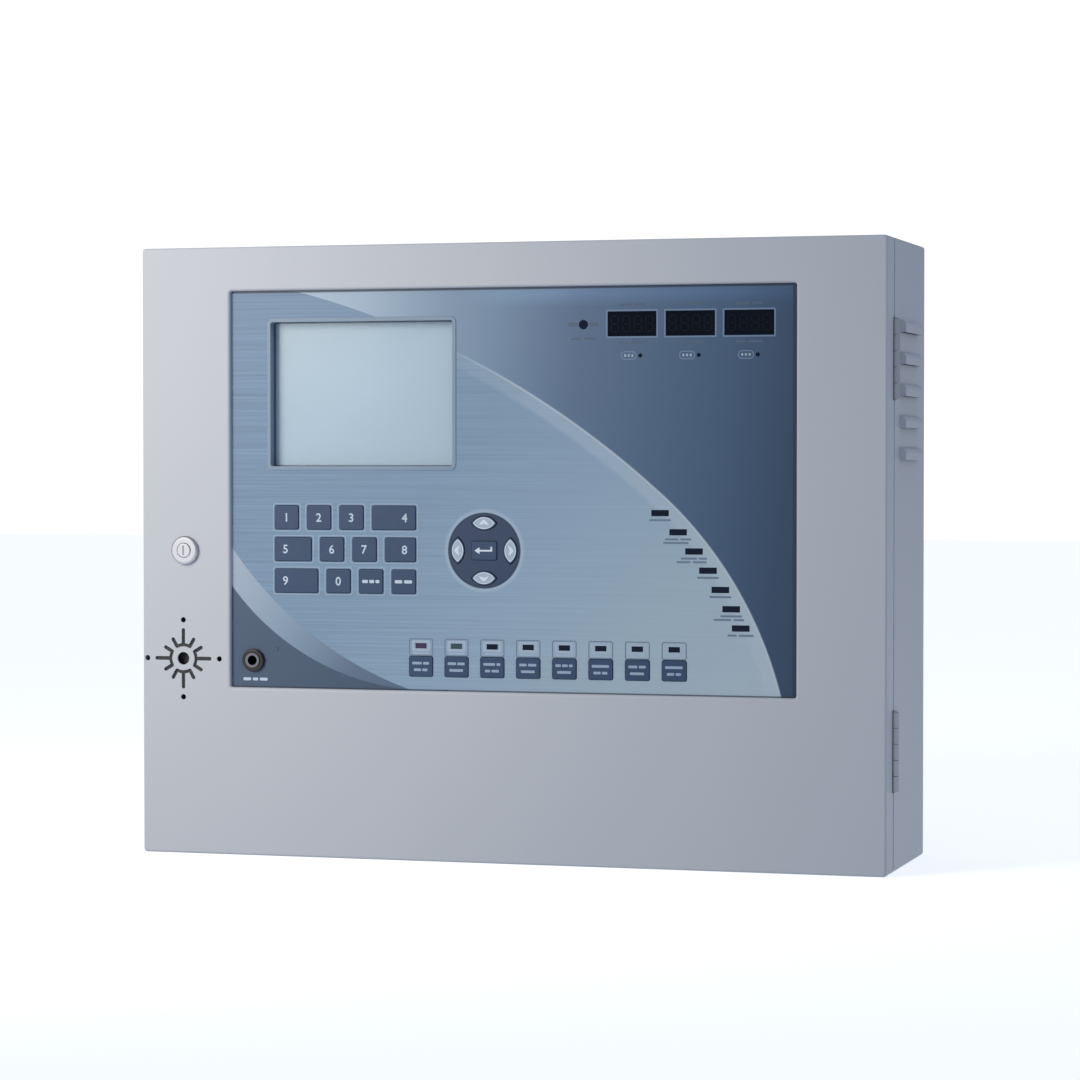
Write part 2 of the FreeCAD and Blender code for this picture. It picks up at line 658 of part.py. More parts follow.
def pocket(owner, drawing, length, forwards=False):
    """Cuts against the sketch's normal, so towards +Y on XZ, or along it when forwards."""
    feature = owner.newObject("PartDesign::Pocket", "Pocket")
    feature.Profile = drawing
    bind(feature, "Length", length)
    feature.Reversed = forwards
    return feature


def fillet(owner, radius, chosen):
    """Rounds the edges of the tip that pass the test, which gets each edge."""
    doc.recompute()
    tip = owner.Tip
    names = [f"Edge{k + 1}" for k, edge in enumerate(tip.Shape.Edges) if chosen(edge)]
    if not names:
        raise RuntimeError(f"no edge to round on {owner.Label}")
    feature = owner.newObject("PartDesign::Fillet", "Fillet")
    feature.Base = (tip, names)
    bind(feature, "Radius", radius)
    return feature


def edges_at_y(y, inside=None):
    """Test for edges that lie in the plane Y = y, and inside an X and Z box if one is given."""
    y = as_size(y).value

    def test(edge):
        bound = edge.BoundBox
        if abs(bound.YMin - y) > 1e-4 or abs(bound.YMax - y) > 1e-4:
            return False
        if inside is None:
            return True
        x0, x1, z0, z1 = (as_size(v).value for v in inside)
        return bound.XMin > x0 and bound.XMax < x1 and bound.ZMin > z0 and bound.ZMax < z1

    return test


def polar(owner, originals, drawing, count):
    """Repeats features round the normal of a sketch."""
    feature = owner.newObject("PartDesign::PolarPattern", "PolarPattern")
    feature.Originals = originals
    feature.Axis = (drawing, ["N_Axis"])
    feature.Angle = 360
    feature.Occurrences = count
    owner.Tip = feature
    return feature


def mirror(owner, originals, role):
    plane = next(f for f in owner.Origin.OriginFeatures if f.Role == role)
    feature = owner.newObject("PartDesign::Mirrored", "Mirrored")
    feature.Originals = originals
    feature.MirrorPlane = (plane, [""])
    owner.Tip = feature
    return feature


def block(x0, x1, y0, y1, z0, z1):
    x0, x1, y0, y1, z0, z1 = (as_size(v) for v in (x0, x1, y0, y1, z0, z1))
    result = doc.addObject("Part::Box", "Box")
    bind(result, "Length", x1 - x0)
    bind(result, "Width", y1 - y0)
    bind(result, "Height", z1 - z0)
    place(result, x0, y0, z0)
    return result


def rod(radius, x, z, y0, y1):
    """Cylinder along Y."""
    y0, y1 = as_size(y0), as_size(y1)
    result = doc.addObject("Part::Cylinder", "Cylinder")
    bind(result, "Radius", radius)
    bind(result, "Height", y1 - y0)
    result.Placement = FreeCAD.Placement(V(0, 0, 0), FreeCAD.Rotation(V(1, 0, 0), -90))
    place(result, x, y0, z)
    return result


def post(radius, x, y, z0, z1):
    """Cylinder along Z."""
    z0, z1 = as_size(z0), as_size(z1)
    result = doc.addObject("Part::Cylinder", "Cylinder")
    bind(result, "Radius", radius)
    bind(result, "Height", z1 - z0)
    place(result, x, y, z0)
    return result


def hexagon(across, x, z, y0, y1):
    """Hexagonal prism along Y, by its size across flats."""
    y0, y1, across = as_size(y0), as_size(y1), as_size(across)
    result = doc.addObject("Part::Prism", "Prism")
    result.Polygon = 6
    bind(result, "Circumradius", across / math.sqrt(3))
    bind(result, "Height", y1 - y0)
    result.Placement = FreeCAD.Placement(V(0, 0, 0), FreeCAD.Rotation(V(1, 0, 0), -90))
    place(result, x, y0, z)
    return result


def fuse(parts):
    if len(parts) == 1:
        return parts[0]
    result = doc.addObject("Part::MultiFuse", "Fuse")
    result.Shapes = parts
    return result


def group(parts):
    """Keeps separate solids together in one object."""
    result = doc.addObject("Part::Compound", "Group")
    result.Links = parts
    return result


def cut(base, tools):
    result = doc.addObject("Part::Cut", "Cut")
    result.Base = base
    result.Tool = tools[0] if len(tools) == 1 else group(tools)
    return result


# ---------------------------------------------------------------- shared positions

HINGE_X = RIGHT + HINGE_OUT
HINGE_Y = front(DOOR_FLANGE + SEAM / 2)
HINGE_CENTRES = [TOP - HINGE_END - HINGE_LONG / 2, BOTTOM + HINGE_END + HINGE_LONG / 2]
SEGMENTS = 5
SEGMENT = (HINGE_LONG - SEGMENT_GAP * (SEGMENTS - 1)) / SEGMENTS

LOCK_X = LEFT + LOCK_LEFT
LOCK_Z = BOTTOM + LOCK_UP
GRILLE_X = LEFT + GRILLE_LEFT
GRILLE_Z = BOTTOM + GRILLE_UP

LCD_X = WIN_X0 + LCD_LEFT + LCD_WIDE / 2
LCD_Z = WIN_Z1 - LCD_DOWN - LCD_HIGH / 2
PAD_X = WIN_X0 + PAD_LEFT
PAD_Z = WIN_Z0 + PAD_UP
JACK_X = WIN_X0 + JACK_LEFT
JACK_Z = WIN_Z0 + JACK_UP

DIGITS = [(WIN_X1 - DIGITS_RIGHT + DIGIT_PITCH * k, WIN_Z1 - DIGITS_DOWN) for k in range(3)]
FUNCTION_X = [WIN_X1 - FUNCTION_RIGHT + FUNCTION_PITCH * k for k in range(8)]
FUNCTION_Z = WIN_Z0 + FUNCTION_UP
FUNCTION_LAMP_Z = WIN_Z0 + FUNCTION_LAMP_UP
BELL_LAMP = (WIN_X1 - BELL_RIGHT, WIN_Z1 - BELL_DOWN)
ICON_LAMPS = [(x + ICON_SHIFT, WIN_Z1 - ICON_DOWN) for x, _ in DIGITS]
POWER_LAMP = (JACK_X + POWER_RIGHT, JACK_Z + POWER_UP)
ROUND_LAMPS = [(BELL, [BELL_LAMP]), (ICON, ICON_LAMPS), (POWER, [POWER_LAMP])]


def status_lamps():
    """Centres of the seven bars, at even heights on an arc that bulges to the right."""
    spots = []
    for k in range(7):
        z = WIN_Z0 + LAMPS_UP - LAMP_STEP * k
        rise = z - (WIN_Z0 - ARC_DOWN)
        reach = math.sqrt(LAMP_ARC.value ** 2 - rise.value ** 2)
        root = Size(reach, f"sqrt({LAMP_ARC.text} ^ 2 - {rise.text} ^ 2)")
        spots.append((WIN_X1 - ARC_RIGHT + root, z))
    return spots


STATUS_LAMPS = status_lamps()


def digit_keys():
    """Name, centre and width of the twelve keys, row by row from the top."""
    wide_end = KEY_BLOCK - KEY_SMALL * 3 - KEY_SPACE * 3
    middle = KEY_MIDDLE
    rows = [
        [("key_1", KEY_SMALL), ("key_2", KEY_SMALL), ("key_3", KEY_SMALL), ("key_4", wide_end)],
        [("key_5", middle), ("key_6", KEY_SMALL), ("key_7", KEY_SMALL),
         ("key_8", KEY_BLOCK - middle - KEY_SMALL * 2 - KEY_SPACE * 3)],
        [("key_9", wide_end), ("key_0", KEY_SMALL), ("key_command_left", KEY_SMALL),
         ("key_command_right", KEY_SMALL)]]
    keys = []
    for row, entries in enumerate(rows):
        x = WIN_X0 + KEYS_LEFT
        z = WIN_Z0 + KEYS_UP + KEY_HIGH / 2 + KEY_PITCH * (2 - row)
        for name, wide in entries:
            keys.append((name, x + wide / 2, z, wide))
            x = x + wide + KEY_SPACE
    return keys


DIGIT_KEYS = digit_keys()
ARROW_KEYS = [
    ("key_arrow_up", PAD_X, PAD_Z + ARROW_REACH, False),
    ("key_arrow_down", PAD_X, PAD_Z - ARROW_REACH, False),
    ("key_arrow_left", PAD_X - ARROW_REACH, PAD_Z, True),
    ("key_arrow_right", PAD_X + ARROW_REACH, PAD_Z, True)]
FUNCTION_KEYS = [(f"key_function_{k + 1}", x) for k, x in enumerate(FUNCTION_X)]
ALL_KEY_CENTRES = ([(x, z) for _, x, z, _ in DIGIT_KEYS] + [(x, z) for _, x, z, _ in ARROW_KEYS]
                   + [(PAD_X, PAD_Z)] + [(x, FUNCTION_Z) for x in FUNCTION_X])


# ---------------------------------------------------------------- box

def hinge_notches(owner, y, forwards):
    """Clears both barrels from the edge of a side wall, starting at the wall's free edge."""
    drawing = sketch(owner, "XZ_Plane", y)
    reach = HINGE_LONG / 2 + NOTCH_END
    inner = RIGHT - STEEL - LEAF - NOTCH_CLEAR
    for centre in HINGE_CENTRES:
        rectangle(drawing, inner, RIGHT + THROUGH, centre - reach, centre + reach)
    return pocket(owner, drawing, KNUCKLE + KNUCKLE_CLEAR - SEAM / 2, forwards)


def louvre(drawing, out, wall_side, base):
    """Section of a pressed hood: open below, straight, then rounded into the wall."""
    shoulder = base + LOUVRE_OUT
    outline(drawing, [
        (RIGHT - wall_side, base), (RIGHT + out, base), (RIGHT + out, shoulder, out),
        (RIGHT, shoulder + out), (RIGHT - wall_side, shoulder + out)])


def back_box():
    """Folded tray with a lip round its mouth, louvres in both sides and all its holes."""
    box = body("back_box")
    reach = DEPTH - BOX_FRONT
    pad(box, rectangle(sketch(box), LEFT, RIGHT, BOTTOM, TOP, FOLD), reach)
    fillet(box, FOLD * 0.75, edges_at_y(0))
    cavity = sketch(box, y=front(LIP_BACK))
    rectangle(cavity, LEFT + STEEL, RIGHT - STEEL, BOTTOM + STEEL, TOP - STEEL)
    pocket(box, cavity, reach - STEEL * 2)
    mouth = sketch(box, y=front(BOX_FRONT))
    rectangle(mouth, LEFT + LIP, RIGHT - LIP, BOTTOM + LIP, TOP - LIP, LIP_CORNER)
    pocket(box, mouth, STEEL * 2)

    # Five hoods pressed out of each side wall, open downwards
    louvre_back = front(LOUVRE_FRONT) + LOUVRE_LONG
    for count in range(5):
        base = TOP - LOUVRE_DOWN - LOUVRE_PITCH * count
        hood = sketch(box, y=louvre_back)
        louvre(hood, LOUVRE_OUT, STEEL / 2, base)
        shell = pad(box, hood, LOUVRE_LONG)
        hollow = sketch(box, y=louvre_back - LOUVRE_LONG + LOUVRE_SKIN)
        louvre(hollow, LOUVRE_OUT - LOUVRE_SKIN, STEEL + 1, base - 0.01)
        slit = pocket(box, hollow, LOUVRE_LONG - LOUVRE_SKIN * 2)
        mirror(box, [shell, slit], "YZ_Plane")

    # Four wall-fixing holes in the back and four cable entries in the top
    fixings = sketch(box, y=-STEEL * 2)
    for side in (-1, 1):
        for end in (-1, 1):
            circle(fixings, FIXING_HOLE, (RIGHT - FIXING_SIDE) * side, (TOP - FIXING_END) * end)
    pocket(box, fixings, STEEL * 3)
    entries = sketch(box, "XY_Plane", TOP - STEEL * 2)
    for x in ENTRY_X:
        circle(entries, ENTRY_HOLE, x, ENTRY_Y)
    pocket(box, entries, STEEL * 3, True)
    hinge_notches(box, front(BOX_FRONT), False)
    return box


ENTRY_X = [ENTRY_PITCH * (k - 1.5) for k in range(4)]
ENTRY_Y = -ENTRY_OUT


def cable_grommets():
    """Four rubber rings, each with a groove that holds the edge of its hole."""
    rings = []
    for x in ENTRY_X:
        upper = TOP + GROMMET_THICK
        lower = TOP - STEEL - GROMMET_THICK
        neck = post(ENTRY_HOLE - RUNNING, x, ENTRY_Y, lower, upper)
        outer = post(ENTRY_HOLE + GROMMET_LIP, x, ENTRY_Y, TOP, upper)
        inner = post(ENTRY_HOLE + GROMMET_LIP, x, ENTRY_Y, lower, TOP - STEEL)
        bore = post(ENTRY_BORE, x, ENTRY_Y, lower - THROUGH, upper + THROUGH)
        rings.append(cut(fuse([neck, outer, inner]), [bore]))
    return labelled(group(rings), "cable_grommets")


def hinge_leaves(name, on_door):
    """Two leaves with rolled knuckles: the box has the odd segments, the door the even ones."""
    away = -1 if on_door else 1
    mine = [k for k in range(SEGMENTS) if (k % 2 == 1) == on_door]
    leaf_x1 = RIGHT - STEEL
    leaf_x0 = leaf_x1 - LEAF
    leaves = []
    for centre in HINGE_CENTRES:
        start = centre - HINGE_LONG / 2
        near = HINGE_Y + (KNUCKLE + KNUCKLE_CLEAR) * away
        far = HINGE_Y + (KNUCKLE + LEAF_DEEP) * away
        pieces = [block(leaf_x0, leaf_x1, *ordered(near, far), start, start + HINGE_LONG)]
        bores = []
        for k in mine:
            low = start + (SEGMENT + SEGMENT_GAP) * k
            high = low + SEGMENT
            pieces.append(post(KNUCKLE, HINGE_X, HINGE_Y, low, high))
            pieces.append(block(leaf_x0, leaf_x1, *ordered(HINGE_Y, near + LEAF * away / 3), low, high))
            bores.append(post(PIN + RUNNING, HINGE_X, HINGE_Y, low - THROUGH, high + THROUGH))
        leaves.append(cut(fuse(pieces), bores))
    return labelled(group(leaves), name)


def ordered(a, b):
    return (a, b) if a.value < b.value else (b, a)


def hinge_pins():
    pins = []
    for centre in HINGE_CENTRES:
        low = centre - HINGE_LONG / 2
        high = low + HINGE_LONG + PIN_OVER
        shank = post(PIN, HINGE_X, HINGE_Y, low - PIN_UNDER, high)
        head = post(PIN_HEAD, HINGE_X, HINGE_Y, high, high + PIN_HEAD_HIGH)
        pins.append(fuse([shank, head]))
    return labelled(group(pins), "hinge_pins")


# ---------------------------------------------------------------- inside the box

CHASSIS_X0 = LEFT + CHASSIS_SIDE
CHASSIS_X1 = RIGHT - CHASSIS_SIDE
CHASSIS_Z0 = BOTTOM + CHASSIS_BOTTOM
CHASSIS_Z1 = TOP - CHASSIS_TOP
CHASSIS_BACK = -STEEL - CHASSIS_OFF
CHASSIS_FRONT = CHASSIS_BACK - STEEL
BOARD_X0 = CHASSIS_X0 + MAIN_MARGIN
BOARD_Z1 = CHASSIS_Z1 - MAIN_MARGIN
MAIN_BACK = CHASSIS_FRONT - SPACER
MAIN_FRONT = MAIN_BACK - BOARD
SUPPLY_X1 = CHASSIS_X1 - SUPPLY_MARGIN
SUPPLY_X0 = SUPPLY_X1 - SUPPLY_WIDE
SUPPLY_Z1 = CHASSIS_Z1 - SUPPLY_MARGIN
SUPPLY_Z0 = SUPPLY_Z1 - SUPPLY_HIGH
SUPPLY_FRONT = CHASSIS_FRONT - SUPPLY_DEEP
CHASSIS_SCREWS = [(x, z) for x in (CHASSIS_X0 + SCREW_IN, CHASSIS_X1 - SCREW_IN)
                  for z in (CHASSIS_Z0 + SCREW_IN, CHASSIS_Z1 - SCREW_IN)]
BOARD_SCREWS = [(x, z) for x in (BOARD_X0 + SCREW_IN, BOARD_X0 + MAIN_WIDE - SCREW_IN)
                for z in (BOARD_Z1 - MAIN_HIGH + SCREW_IN, BOARD_Z1 - SCREW_IN)]
BATTERY_BACK = -STEEL - BATTERY_OFF
BATTERY_FRONT = BATTERY_BACK - BATTERY_DEEP
BATTERY_FLOOR = BOTTOM + STEEL
STRAP_INSIDE = BATTERY_GAP / 2 + BATTERY_WIDE + STRAP_CLEAR
STRAP_Z = BATTERY_FLOOR + STRAP_UP


def chassis_plate():
    """Steel plate on four pillars, with its top and bottom edges folded forwards."""
    plate = body("chassis_plate")
    flat = sketch(plate, y=CHASSIS_BACK)
    rectangle(flat, CHASSIS_X0, CHASSIS_X1, CHASSIS_Z0, CHASSIS_Z1, CHASSIS_CORNER)
    pad(plate, flat, STEEL)
    folds = sketch(plate, y=CHASSIS_FRONT)
    start, end = CHASSIS_X0 + CHASSIS_FOLD_END, CHASSIS_X1 - CHASSIS_FOLD_END
    rectangle(folds, start, end, CHASSIS_Z0, CHASSIS_Z0 + STEEL)
    rectangle(folds, start, end, CHASSIS_Z1 - STEEL, CHASSIS_Z1)
    pad(plate, folds, CHASSIS_FOLD)
    holes = sketch(plate, y=CHASSIS_FRONT - THROUGH)
    for x, z in CHASSIS_SCREWS:
        circle(holes, CHASSIS_HOLE, x, z)
    pocket(plate, holes, STEEL + THROUGH * 2)
    return plate


def screw_slot(x, z, top, long, wide, deep):
    """Tool for the driver slot in a screw head whose top lies at Y = top."""
    return block(x - long / 2, x + long / 2, top - THROUGH, top + deep, z - wide / 2, z + wide / 2)


def chassis_fixings():
    """Pillars behind the plate with their screws, and the spacers and screws of the board."""
    pieces = []
    for x, z in CHASSIS_SCREWS:
        pillar = hexagon(CHASSIS_PILLAR, x, z, CHASSIS_BACK, -STEEL)
        shank = rod(CHASSIS_SCREW, x, z, CHASSIS_FRONT, CHASSIS_BACK)
        top = CHASSIS_FRONT - CHASSIS_HEAD_HIGH
        head = rod(CHASSIS_HEAD, x, z, top, CHASSIS_FRONT)
        recess = screw_slot(x, z, top, SLOT_LONG, SLOT_WIDE, SLOT_DEEP)
        pieces.append(cut(fuse([pillar, shank, head]), [recess]))
    for x, z in BOARD_SCREWS:
        spacer = hexagon(MAIN_SPACER, x, z, MAIN_BACK, CHASSIS_FRONT)
        shank = rod(BOARD_SCREW, x, z, MAIN_FRONT, MAIN_BACK)
        top = MAIN_FRONT - BOARD_HEAD_HIGH
        head = rod(MAIN_HEAD, x, z, top, MAIN_FRONT)
        recess = screw_slot(x, z, top, BOARD_SLOT_LONG, BOARD_SLOT_WIDE, BOARD_SLOT_DEEP)
        pieces.append(cut(fuse([spacer, shank, head]), [recess]))
    for side in (-1, 1):
        x = (STRAP_INSIDE + STEEL + STRAP_FOOT / 2) * side
        stud = rod(CHASSIS_SCREW, x, STRAP_Z, -STEEL * 2 - STRAP_STUD, -STEEL)
        nut = hexagon(STRAP_NUT, x, STRAP_Z, -STEEL * 2 - STRAP_NUT_THICK, -STEEL * 2)
        pieces.append(fuse([stud, nut]))
    return labelled(group(pieces), "chassis_fixings")


def main_board():
    board = body("main_board")
    flat = sketch(board, y=MAIN_BACK)
    rectangle(flat, BOARD_X0, BOARD_X0 + MAIN_WIDE, BOARD_Z1 - MAIN_HIGH, BOARD_Z1, MAIN_CORNER)
    pad(board, flat, BOARD)
    holes = sketch(board, y=MAIN_FRONT - THROUGH)
    for x, z in BOARD_SCREWS:
        circle(holes, BOARD_HOLE, x, z)
    pocket(board, holes, BOARD + THROUGH * 2)
    return board


def board_block(left, down, wide, high, deep):
    """Part on the main board, by its lower left corner from the board's left and top edges."""
    x, z = BOARD_X0 + left, BOARD_Z1 - down
    return block(x, x + wide, MAIN_FRONT - deep, MAIN_FRONT, z, z + high)


def board_can(left, down, radius, deep):
    """Round part on the main board, by its centre."""
    return rod(radius, BOARD_X0 + left, BOARD_Z1 - down, MAIN_FRONT - deep, MAIN_FRONT)


def fuse_clip(left):
    """Fuse in its clip, along Z."""
    base = board_block(left, FUSE_DOWN, FUSE_WIDE, FUSE_HIGH, FUSE_DEEP)
    low = BOARD_Z1 - FUSE_DOWN + FUSE_TUBE_END
    high = BOARD_Z1 - FUSE_DOWN + FUSE_HIGH - FUSE_TUBE_END
    tube = post(FUSE_TUBE, BOARD_X0 + left + FUSE_WIDE / 2, MAIN_FRONT - FUSE_TUBE_OUT, low, high)
    return fuse([base, tube])


def heat_sink():
    fins = [board_block(SINK_LEFT, SINK_DOWN, SINK_WIDE, SINK_HIGH, SINK_BASE)]
    for k in range(6):
        fins.append(board_block(SINK_LEFT + FIN_PITCH * k, SINK_DOWN, FIN, SINK_HIGH, SINK_DEEP))
    return fuse(fins)


def board_parts():
    """Relays, fuses, capacitors, processor, heat sink and headers, soldered to the board."""
    pieces = [board_block(RELAY_LEFT + RELAY_PITCH * k, RELAY_DOWN, RELAY_WIDE, RELAY_HIGH, RELAY_DEEP)
              for k in range(4)]
    pieces += [fuse_clip(FUSE_LEFT + FUSE_PITCH * k) for k in range(6)]
    pieces += [board_can(CAN_LEFT + CAN_PITCH * k, CAN_DOWN, CAN, CAN_DEEP) for k in range(3)]
    pieces.append(heat_sink())
    pieces.append(board_block(CHIP_LEFT, CHIP_DOWN, CHIP_WIDE, CHIP_WIDE, CHIP_DEEP))
    pieces.append(board_block(MEMORY_LEFT, MEMORY_DOWN, MEMORY_WIDE, MEMORY_HIGH, MEMORY_DEEP))
    pieces += [board_block(HEADER_LEFT, HEADER_DOWN + HEADER_PITCH * k, HEADER_WIDE, HEADER_HIGH,
                           HEADER_DEEP) for k in range(2)]
    pieces.append(board_can(COIN_LEFT, COIN_DOWN, COIN, COIN_DEEP))
    return labelled(group(pieces), "board_parts")


def terminal_blocks():
    """Screw terminals along the top and bottom edges of the main board."""
    ways = 8
    top = MAIN_FRONT - BLOCK_DEEP
    rows = []
    for z in (BOARD_Z1 - BLOCK_DOWN, BOARD_Z1 - MAIN_HIGH + BLOCK_UP):
        for k in range(4):
            x = BOARD_X0 + BLOCK_LEFT + BLOCK_PITCH * k
            case = block(x, x + WAY * ways, top, MAIN_FRONT, z, z + BLOCK_HIGH)
            holes = []
            for way in range(ways):
                centre = x + WAY * way + WAY / 2
                holes.append(rod(WAY_HOLE, centre, z + BLOCK_HIGH / 2, top - THROUGH, top + WAY_HOLE_DEEP))
            rows.append(cut(case, holes))
    return labelled(group(rows), "terminal_blocks")


def power_supply_case():
    """Thin steel case on the chassis, open at its lower end, with rows of vent slots."""
    case = body("power_supply_case")
    skin = SUPPLY_SKIN
    outer = sketch(case, y=CHASSIS_FRONT)
    rectangle(outer, SUPPLY_X0, SUPPLY_X1, SUPPLY_Z0, SUPPLY_Z1)
    pad(case, outer, SUPPLY_DEEP)
    inner = sketch(case, "XY_Plane", SUPPLY_Z0)
    rectangle(inner, SUPPLY_X0 + skin, SUPPLY_X1 - skin, SUPPLY_FRONT + skin, CHASSIS_FRONT - skin)
    pocket(case, inner, SUPPLY_HIGH - skin, True)
    first = SUPPLY_X0 + VENT_LEFT
    top = SUPPLY_Z1 - VENT_DOWN
    openings(case, SUPPLY_FRONT - THROUGH, skin + THROUGH * 2, [
        box_opening(VENT_WIDE, VENT_HIGH, None, first + VENT_PITCH * column, top - VENT_ROW * row)
        for row in range(4) for column in range(6)])
    access = sketch(case, y=SUPPLY_FRONT - THROUGH)
    rectangle(access, SUPPLY_X0 + ACCESS_SIDE, SUPPLY_X1 - ACCESS_SIDE,
              SUPPLY_Z0 - THROUGH, SUPPLY_Z0 + ACCESS_HIGH)
    pocket(case, access, skin + THROUGH * 2)
    return case


def power_supply_board():
    """Circuit board in the case with its transformer, capacitors, coil and terminals."""
    back = CHASSIS_FRONT - SUPPLY_SKIN - SUPPLY_SPACE
    face = back - BOARD
    x0 = SUPPLY_X0 + SUPPLY_SKIN + SUPPLY_SIDE
    x1 = SUPPLY_X1 - SUPPLY_SKIN - SUPPLY_SIDE
    z0 = SUPPLY_Z0 + SUPPLY_FOOT
    z1 = SUPPLY_Z1 - SUPPLY_SKIN - SUPPLY_HEAD

    def square(left, up, wide, high, deep):
        return block(x0 + left, x0 + left + wide, face - deep, face, z0 + up, z0 + up + high)

    pieces = [block(x0, x1, face, back, z0, z1)]
    pieces.append(square(TRANSFORMER_LEFT, TRANSFORMER_UP, TRANSFORMER_WIDE, TRANSFORMER_HIGH,
                         TRANSFORMER_DEEP))
    for k in range(2):
        pieces.append(rod(BULK, x0 + BULK_LEFT, z0 + BULK_UP + BULK_PITCH * k, face - BULK_DEEP, face))
    pieces.append(rod(OUTPUT, x0 + OUTPUT_LEFT, z0 + OUTPUT_UP, face - OUTPUT_DEEP, face))
    pieces.append(square(COIL_LEFT, COIL_UP, COIL_WIDE, COIL_WIDE, COIL_DEEP))
    top = face - STRIP_DEEP
    first = x0 + STRIP_SIDE + STRIP_FIRST
    strip = block(x0 + STRIP_SIDE, x1 - STRIP_SIDE, top, face, z0, z0 + STRIP_HIGH)
    holes = [rod(STRIP_HOLE, first + STRIP_PITCH * k, z0 + STRIP_HIGH / 2, top - THROUGH,
                 top + STRIP_HOLE_DEEP) for k in range(8)]
    return labelled(fuse(pieces + [cut(strip, holes)]), "power_supply_board")


def mains_terminal():
    """Fused three-way mains terminal block on the chassis below the power supply."""
    x = SUPPLY_X0 + MAINS_LEFT
    z = SUPPLY_Z0 - MAINS_DOWN
    top = CHASSIS_FRONT - MAINS_DEEP
    case = block(x, x + MAINS_WIDE, top, CHASSIS_FRONT, z, z + MAINS_HIGH)
    holder = block(x + HOLDER_LEFT, x + HOLDER_LEFT + HOLDER_WIDE, top - HOLDER_PROUD, top + THROUGH,
                   z + HOLDER_END, z + MAINS_HIGH - HOLDER_END)
    holes = [rod(MAINS_HOLE, x + MAINS_FIRST + MAINS_PITCH * k, z + MAINS_HIGH / 2, top - THROUGH,
                 top + MAINS_HOLE_DEEP) for k in range(3)]
    return labelled(cut(fuse([case, holder]), holes), "mains_terminal")


def battery(name, side):
    """Sealed lead-acid battery standing on the box floor, terminals on top."""
    case = body(name)
    if side < 0:
        x0, x1 = -BATTERY_GAP / 2 - BATTERY_WIDE, -BATTERY_GAP / 2
    else:
        x0, x1 = BATTERY_GAP / 2, BATTERY_GAP / 2 + BATTERY_WIDE
    profile = sketch(case, "XY_Plane", BATTERY_FLOOR)
    rectangle(profile, x0, x1, BATTERY_FRONT, BATTERY_BACK, BATTERY_CORNER)
    pad(case, profile, BATTERY_HIGH)
    groove = sketch(case, "XY_Plane", BATTERY_FLOOR + BATTERY_HIGH - LID)
    rectangle(groove, x0 - THROUGH, x1 + THROUGH, BATTERY_FRONT - THROUGH, BATTERY_BACK + THROUGH)
    rectangle(groove, x0 + GROOVE_DEEP, x1 - GROOVE_DEEP, BATTERY_FRONT + GROOVE_DEEP,
              BATTERY_BACK - GROOVE_DEEP, BATTERY_CORNER - GROOVE_DEEP)
    pocket(case, groove, GROOVE_HIGH, True)
    tabs = sketch(case, "XY_Plane", BATTERY_FLOOR + BATTERY_HIGH)
    tab = BATTERY_FRONT + TAB_BACK
    for x in (x0 + TAB_IN, x1 - TAB_IN):
        rectangle(tabs, x - TAB_WIDE / 2, x + TAB_WIDE / 2, tab, tab + TAB_THICK)
    pad(case, tabs, TAB_HIGH)
    return case


def battery_strap():
    """Folded strap across both batteries, with a foot against the back wall at each end."""
    strap = body("battery_strap")
    x0 = STRAP_INSIDE
    x1 = x0 + STEEL
    x2 = x1 + STRAP_FOOT
    wall = -STEEL
    y0 = BATTERY_FRONT - STRAP_CLEAR
    profile = sketch(strap, "XY_Plane", STRAP_Z - STRAP_HIGH / 2)
    outline(profile, [
        (-x2, wall), (-x2, wall - STEEL), (-x1, wall - STEEL), (-x1, y0 - STEEL),
        (x1, y0 - STEEL), (x1, wall - STEEL), (x2, wall - STEEL), (x2, wall),
        (x0, wall), (x0, y0), (-x0, y0), (-x0, wall)])
    pad(strap, profile, STRAP_HIGH)
    holes = sketch(strap, y=wall - STEEL * 2)
    for side in (-1, 1):
        circle(holes, CHASSIS_HOLE, (x2 - STRAP_FOOT / 2) * side, STRAP_Z)
    pocket(strap, holes, STEEL * 3)
    return strap


def earth_stud():
    """M6 stud in the back wall with washers and two nuts."""
    x, z = LEFT + EARTH_LEFT, BOTTOM + EARTH_UP
    washer_top = -STEEL - EARTH_FIRST
    nut_top = washer_top - EARTH_NUT_THICK
    upper_washer_top = nut_top - EARTH_SECOND
    stud = rod(EARTH, x, z, -STEEL - EARTH_LONG, -STEEL)
    washer = rod(EARTH_WASHER, x, z, washer_top, -STEEL)
    nut = hexagon(EARTH_NUT, x, z, nut_top, washer_top)
    upper_washer = rod(EARTH_WASHER, x, z, upper_washer_top, nut_top)
    upper_nut = hexagon(EARTH_NUT, x, z, upper_washer_top - EARTH_NUT_THICK, upper_washer_top)
    return labelled(fuse([stud, washer, nut, upper_washer, upper_nut]), "earth_stud")


# ---------------------------------------------------------------- door

STUDS = [(x, z) for x in (WIN_X0 + STUD_IN, (WIN_X0 + WIN_X1) / 2, WIN_X1 - STUD_IN)
         for z in (WIN_Z0 - STUD_OUT, WIN_Z1 + STUD_OUT)]


